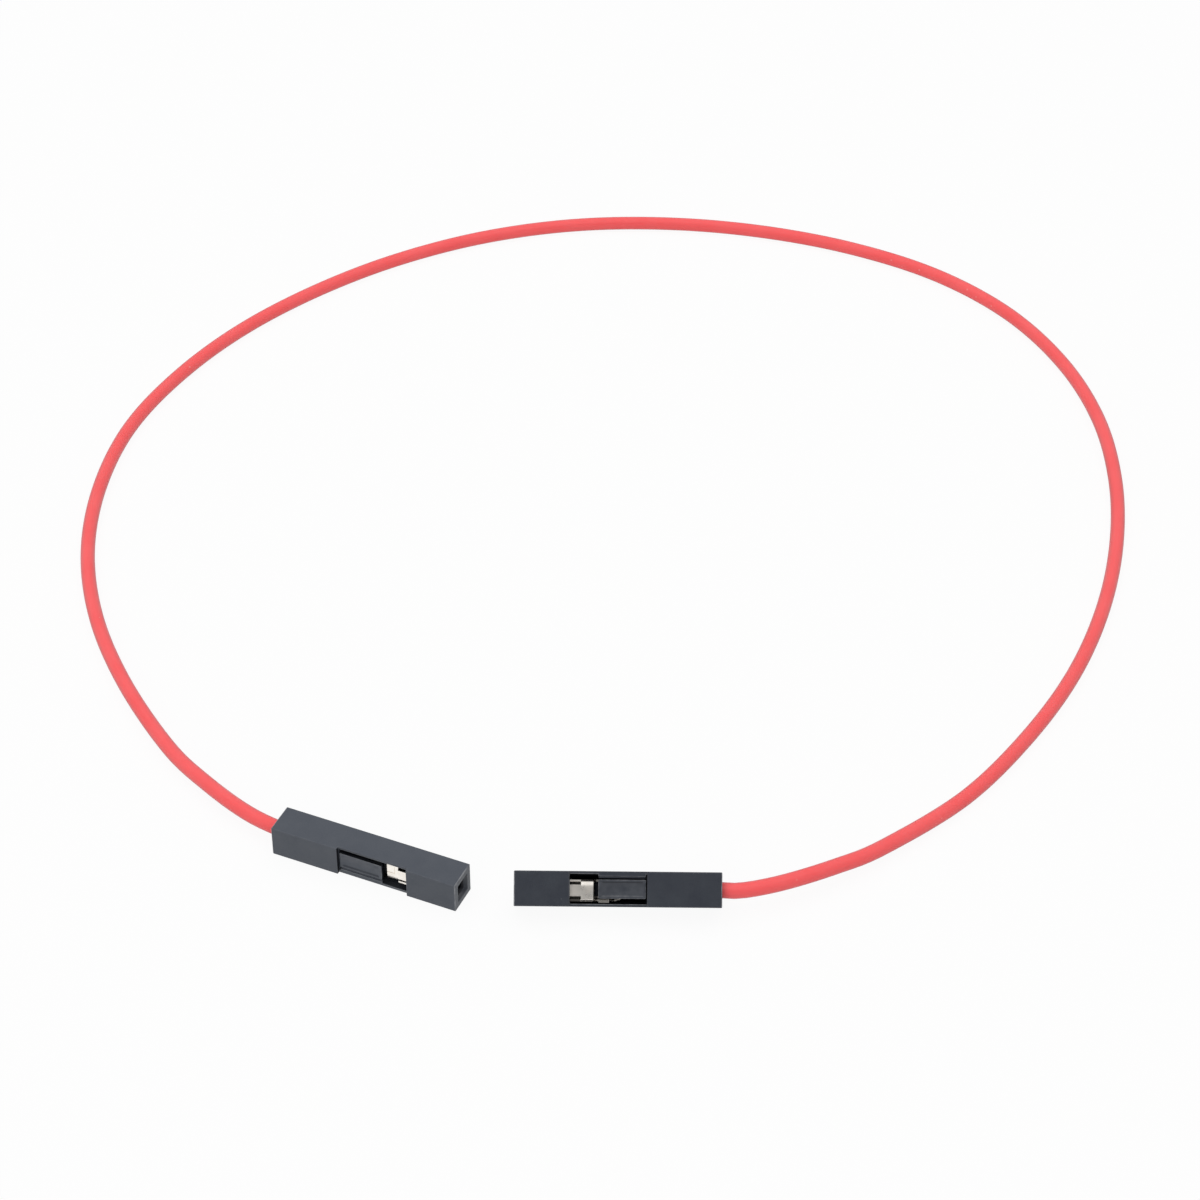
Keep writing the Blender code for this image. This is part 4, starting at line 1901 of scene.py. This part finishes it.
@dataclass(frozen=True)
class Studio:
    """The camera at the photograph's angle, soft light and a pale floor. Metres and degrees."""

    lens_mm: float = 100.0
    sensor_mm: float = 36.0
    camera_place: Point3 = (7.328 * MM, -168.033 * MM, 163.687 * MM)
    camera_dip: float = 39.484
    clip: Point2 = (0.01, 20.0)
    floor_half: float = 3.0
    floor_drop: float = 0.02 * MM
    floor_colour: Colour = (0.80, 0.80, 0.80)
    floor_plain: float = 0.93
    shade_radius: Point2 = (0.10, 0.20)
    loop_centre: Point2 = (0.008, 0.039)
    ambient: float = 0.40
    ceiling_size: float = 0.9
    ceiling_offset: Point3 = (0.0, 0.05, 0.6)
    ceiling_watts: float = 3.0
    front_size: float = 0.5
    front_offset: Point3 = (-0.25, -0.5, 0.35)
    front_watts: float = 1.0
    card_back: float = 0.03
    card_size: float = 0.22
    card_grey: float = 0.30

    def _camera(self) -> None:
        """The camera, where the photograph was taken from."""
        data = bpy.data.cameras.new("camera")
        data.lens = self.lens_mm
        data.sensor_width = self.sensor_mm
        data.clip_start, data.clip_end = self.clip
        camera = new_object("camera", data)
        camera.location = self.camera_place
        camera.rotation_euler = (math.radians(90 - self.camera_dip), 0.0, 0.0)
        bpy.context.scene.camera = camera

    def _seen_as_background(self, tree: bpy.types.NodeTree) -> bpy.types.NodeSocket:
        """Picks out the rays that show the background: from the camera, a reflection or glass.

        Args:
            tree: The tree that the nodes go into.

        Returns:
            A socket with 1 for those rays and 0 for the rest.
        """
        path = add_node(tree, "ShaderNodeLightPath")
        total = path.outputs["Is Camera Ray"]
        for name in ("Is Glossy Ray", "Is Transmission Ray"):
            inputs = {0: total, 1: path.outputs[name]}
            total = add_node(tree, "ShaderNodeMath", inputs, operation="MAXIMUM").outputs[0]
        return total

    def _world(self) -> None:
        """A white surround that lights the object evenly."""
        world = bpy.data.worlds.new("surround")
        bpy.context.scene.world = world
        world.use_nodes = True
        tree = world.node_tree
        seen = self._seen_as_background(tree)
        strength = ramp(tree, seen, (0.0, 1.0), (self.ambient, 1.0))
        white = (1.0, 1.0, 1.0, 1.0)
        fill_inputs(tree.nodes["Background"], {"Color": white, "Strength": strength})

    def _floor(self) -> None:
        """The pale floor, which keeps the lead's shadow and turns plain white further out."""
        floor = square_sheet("floor", self.floor_half, -self.floor_drop)
        material, tree, shader = new_material("pale_floor")
        place = add_node(tree, "ShaderNodeTexCoord").outputs["Object"]
        centre = (*self.loop_centre, 0.0)
        distance = add_node(
            tree, "ShaderNodeVectorMath", {0: place, 1: centre}, operation="DISTANCE"
        ).outputs["Value"]
        far = ramp(tree, distance, self.shade_radius, (self.floor_plain, 1.0))
        camera_ray = add_node(tree, "ShaderNodeLightPath").outputs["Is Camera Ray"]
        seen = self._seen_as_background(tree)
        mirrored = add_node(tree, "ShaderNodeMath", {0: seen, 1: camera_ray}, operation="SUBTRACT")
        inputs = {0: far, 1: camera_ray, 2: mirrored.outputs[0]}
        plain = add_node(tree, "ShaderNodeMath", inputs, operation="MULTIPLY_ADD")
        glow = add_node(tree, "ShaderNodeEmission", {"Strength": 1.0})
        fill_inputs(
            shader,
            {
                "Base Color": (*self.floor_colour, 1.0),
                "Roughness": 0.9,
                "Specular IOR Level": 0.1,
            },
        )
        mixed = add_node(
            tree,
            "ShaderNodeMixShader",
            {0: plain.outputs[0], 1: shader.outputs[0], 2: glow.outputs[0]},
        )
        tree.links.new(mixed.outputs[0], tree.nodes["Material Output"].inputs["Surface"])
        floor.data.materials.append(material)

    def _lamp(self, name: str, size: float, watts: float, offset: Point3) -> None:
        """Makes a square soft lamp that faces the middle of the loop.

        Args:
            name: The lamp's name.
            size: Its side.
            watts: Its power.
            offset: Its place, measured from the middle of the loop.
        """
        data = bpy.data.lights.new(name, "AREA")
        data.size = size
        data.energy = watts
        lamp = new_object(name, data)
        lamp.visible_glossy = False
        lamp.location = Vector((*self.loop_centre, 0.0)) + Vector(offset)
        lamp.rotation_euler = (-Vector(offset)).to_track_quat("-Z", "Y").to_euler()

    def _card(self) -> None:
        """The dark card behind the camera, which shows only in what reflects straight back."""
        card = square_sheet("card", self.card_size / 2, 0.0)
        dip = math.radians(self.camera_dip)
        back = Vector((0.0, -math.cos(dip), math.sin(dip))) * self.card_back
        card.location = Vector(self.camera_place) + back
        card.rotation_euler = (math.radians(90) - dip, 0.0, 0.0)
        material, _, shader = new_material("dark_card")
        grey = self.card_grey
        fill_inputs(
            shader,
            {
                "Base Color": (0.0, 0.0, 0.0, 1.0),
                "Specular IOR Level": 0.0,
                "Emission Color": (grey, grey, grey, 1.0),
                "Emission Strength": 1.0,
            },
        )
        card.data.materials.append(material)
        card.visible_camera = False
        card.visible_diffuse = False
        card.visible_shadow = False
        card.visible_transmission = False

    def build(self) -> None:
        """Makes the camera, the surround, the floor, the card and the lamps."""
        self._camera()
        self._world()
        self._floor()
        self._card()
        self._lamp("ceiling", self.ceiling_size, self.ceiling_watts, self.ceiling_offset)
        self._lamp("front", self.front_size, self.front_watts, self.front_offset)
        bpy.context.scene.view_settings.view_transform = "Standard"


def report(obj: bpy.types.Object) -> None:
    """Logs one piece's name and size."""
    log.info("%s: %d vertices, %d faces", obj.name, len(obj.data.vertices), len(obj.data.polygons))


def main() -> None:
    """Builds the wire, the two connectors and the studio."""
    logging.basicConfig(level=logging.INFO, format="%(name)s: %(message)s")
    effects = Effects()
    places = {end: ConnectorPlace.from_frame(end) for end in End}
    wire = Wire(places, VinylInsulation().material(effects), TINNED_STRAND.material(effects))
    for piece in wire.build():
        report(piece)
    tin = TIN_SHEET.material(effects)
    for end in End:
        report(Housing(places[end], HOUSING_FINISHES[end].material(effects)).build())
        report(Terminal(places[end], tin).build())
    Studio().build()


if __name__ == "__main__":
    main()
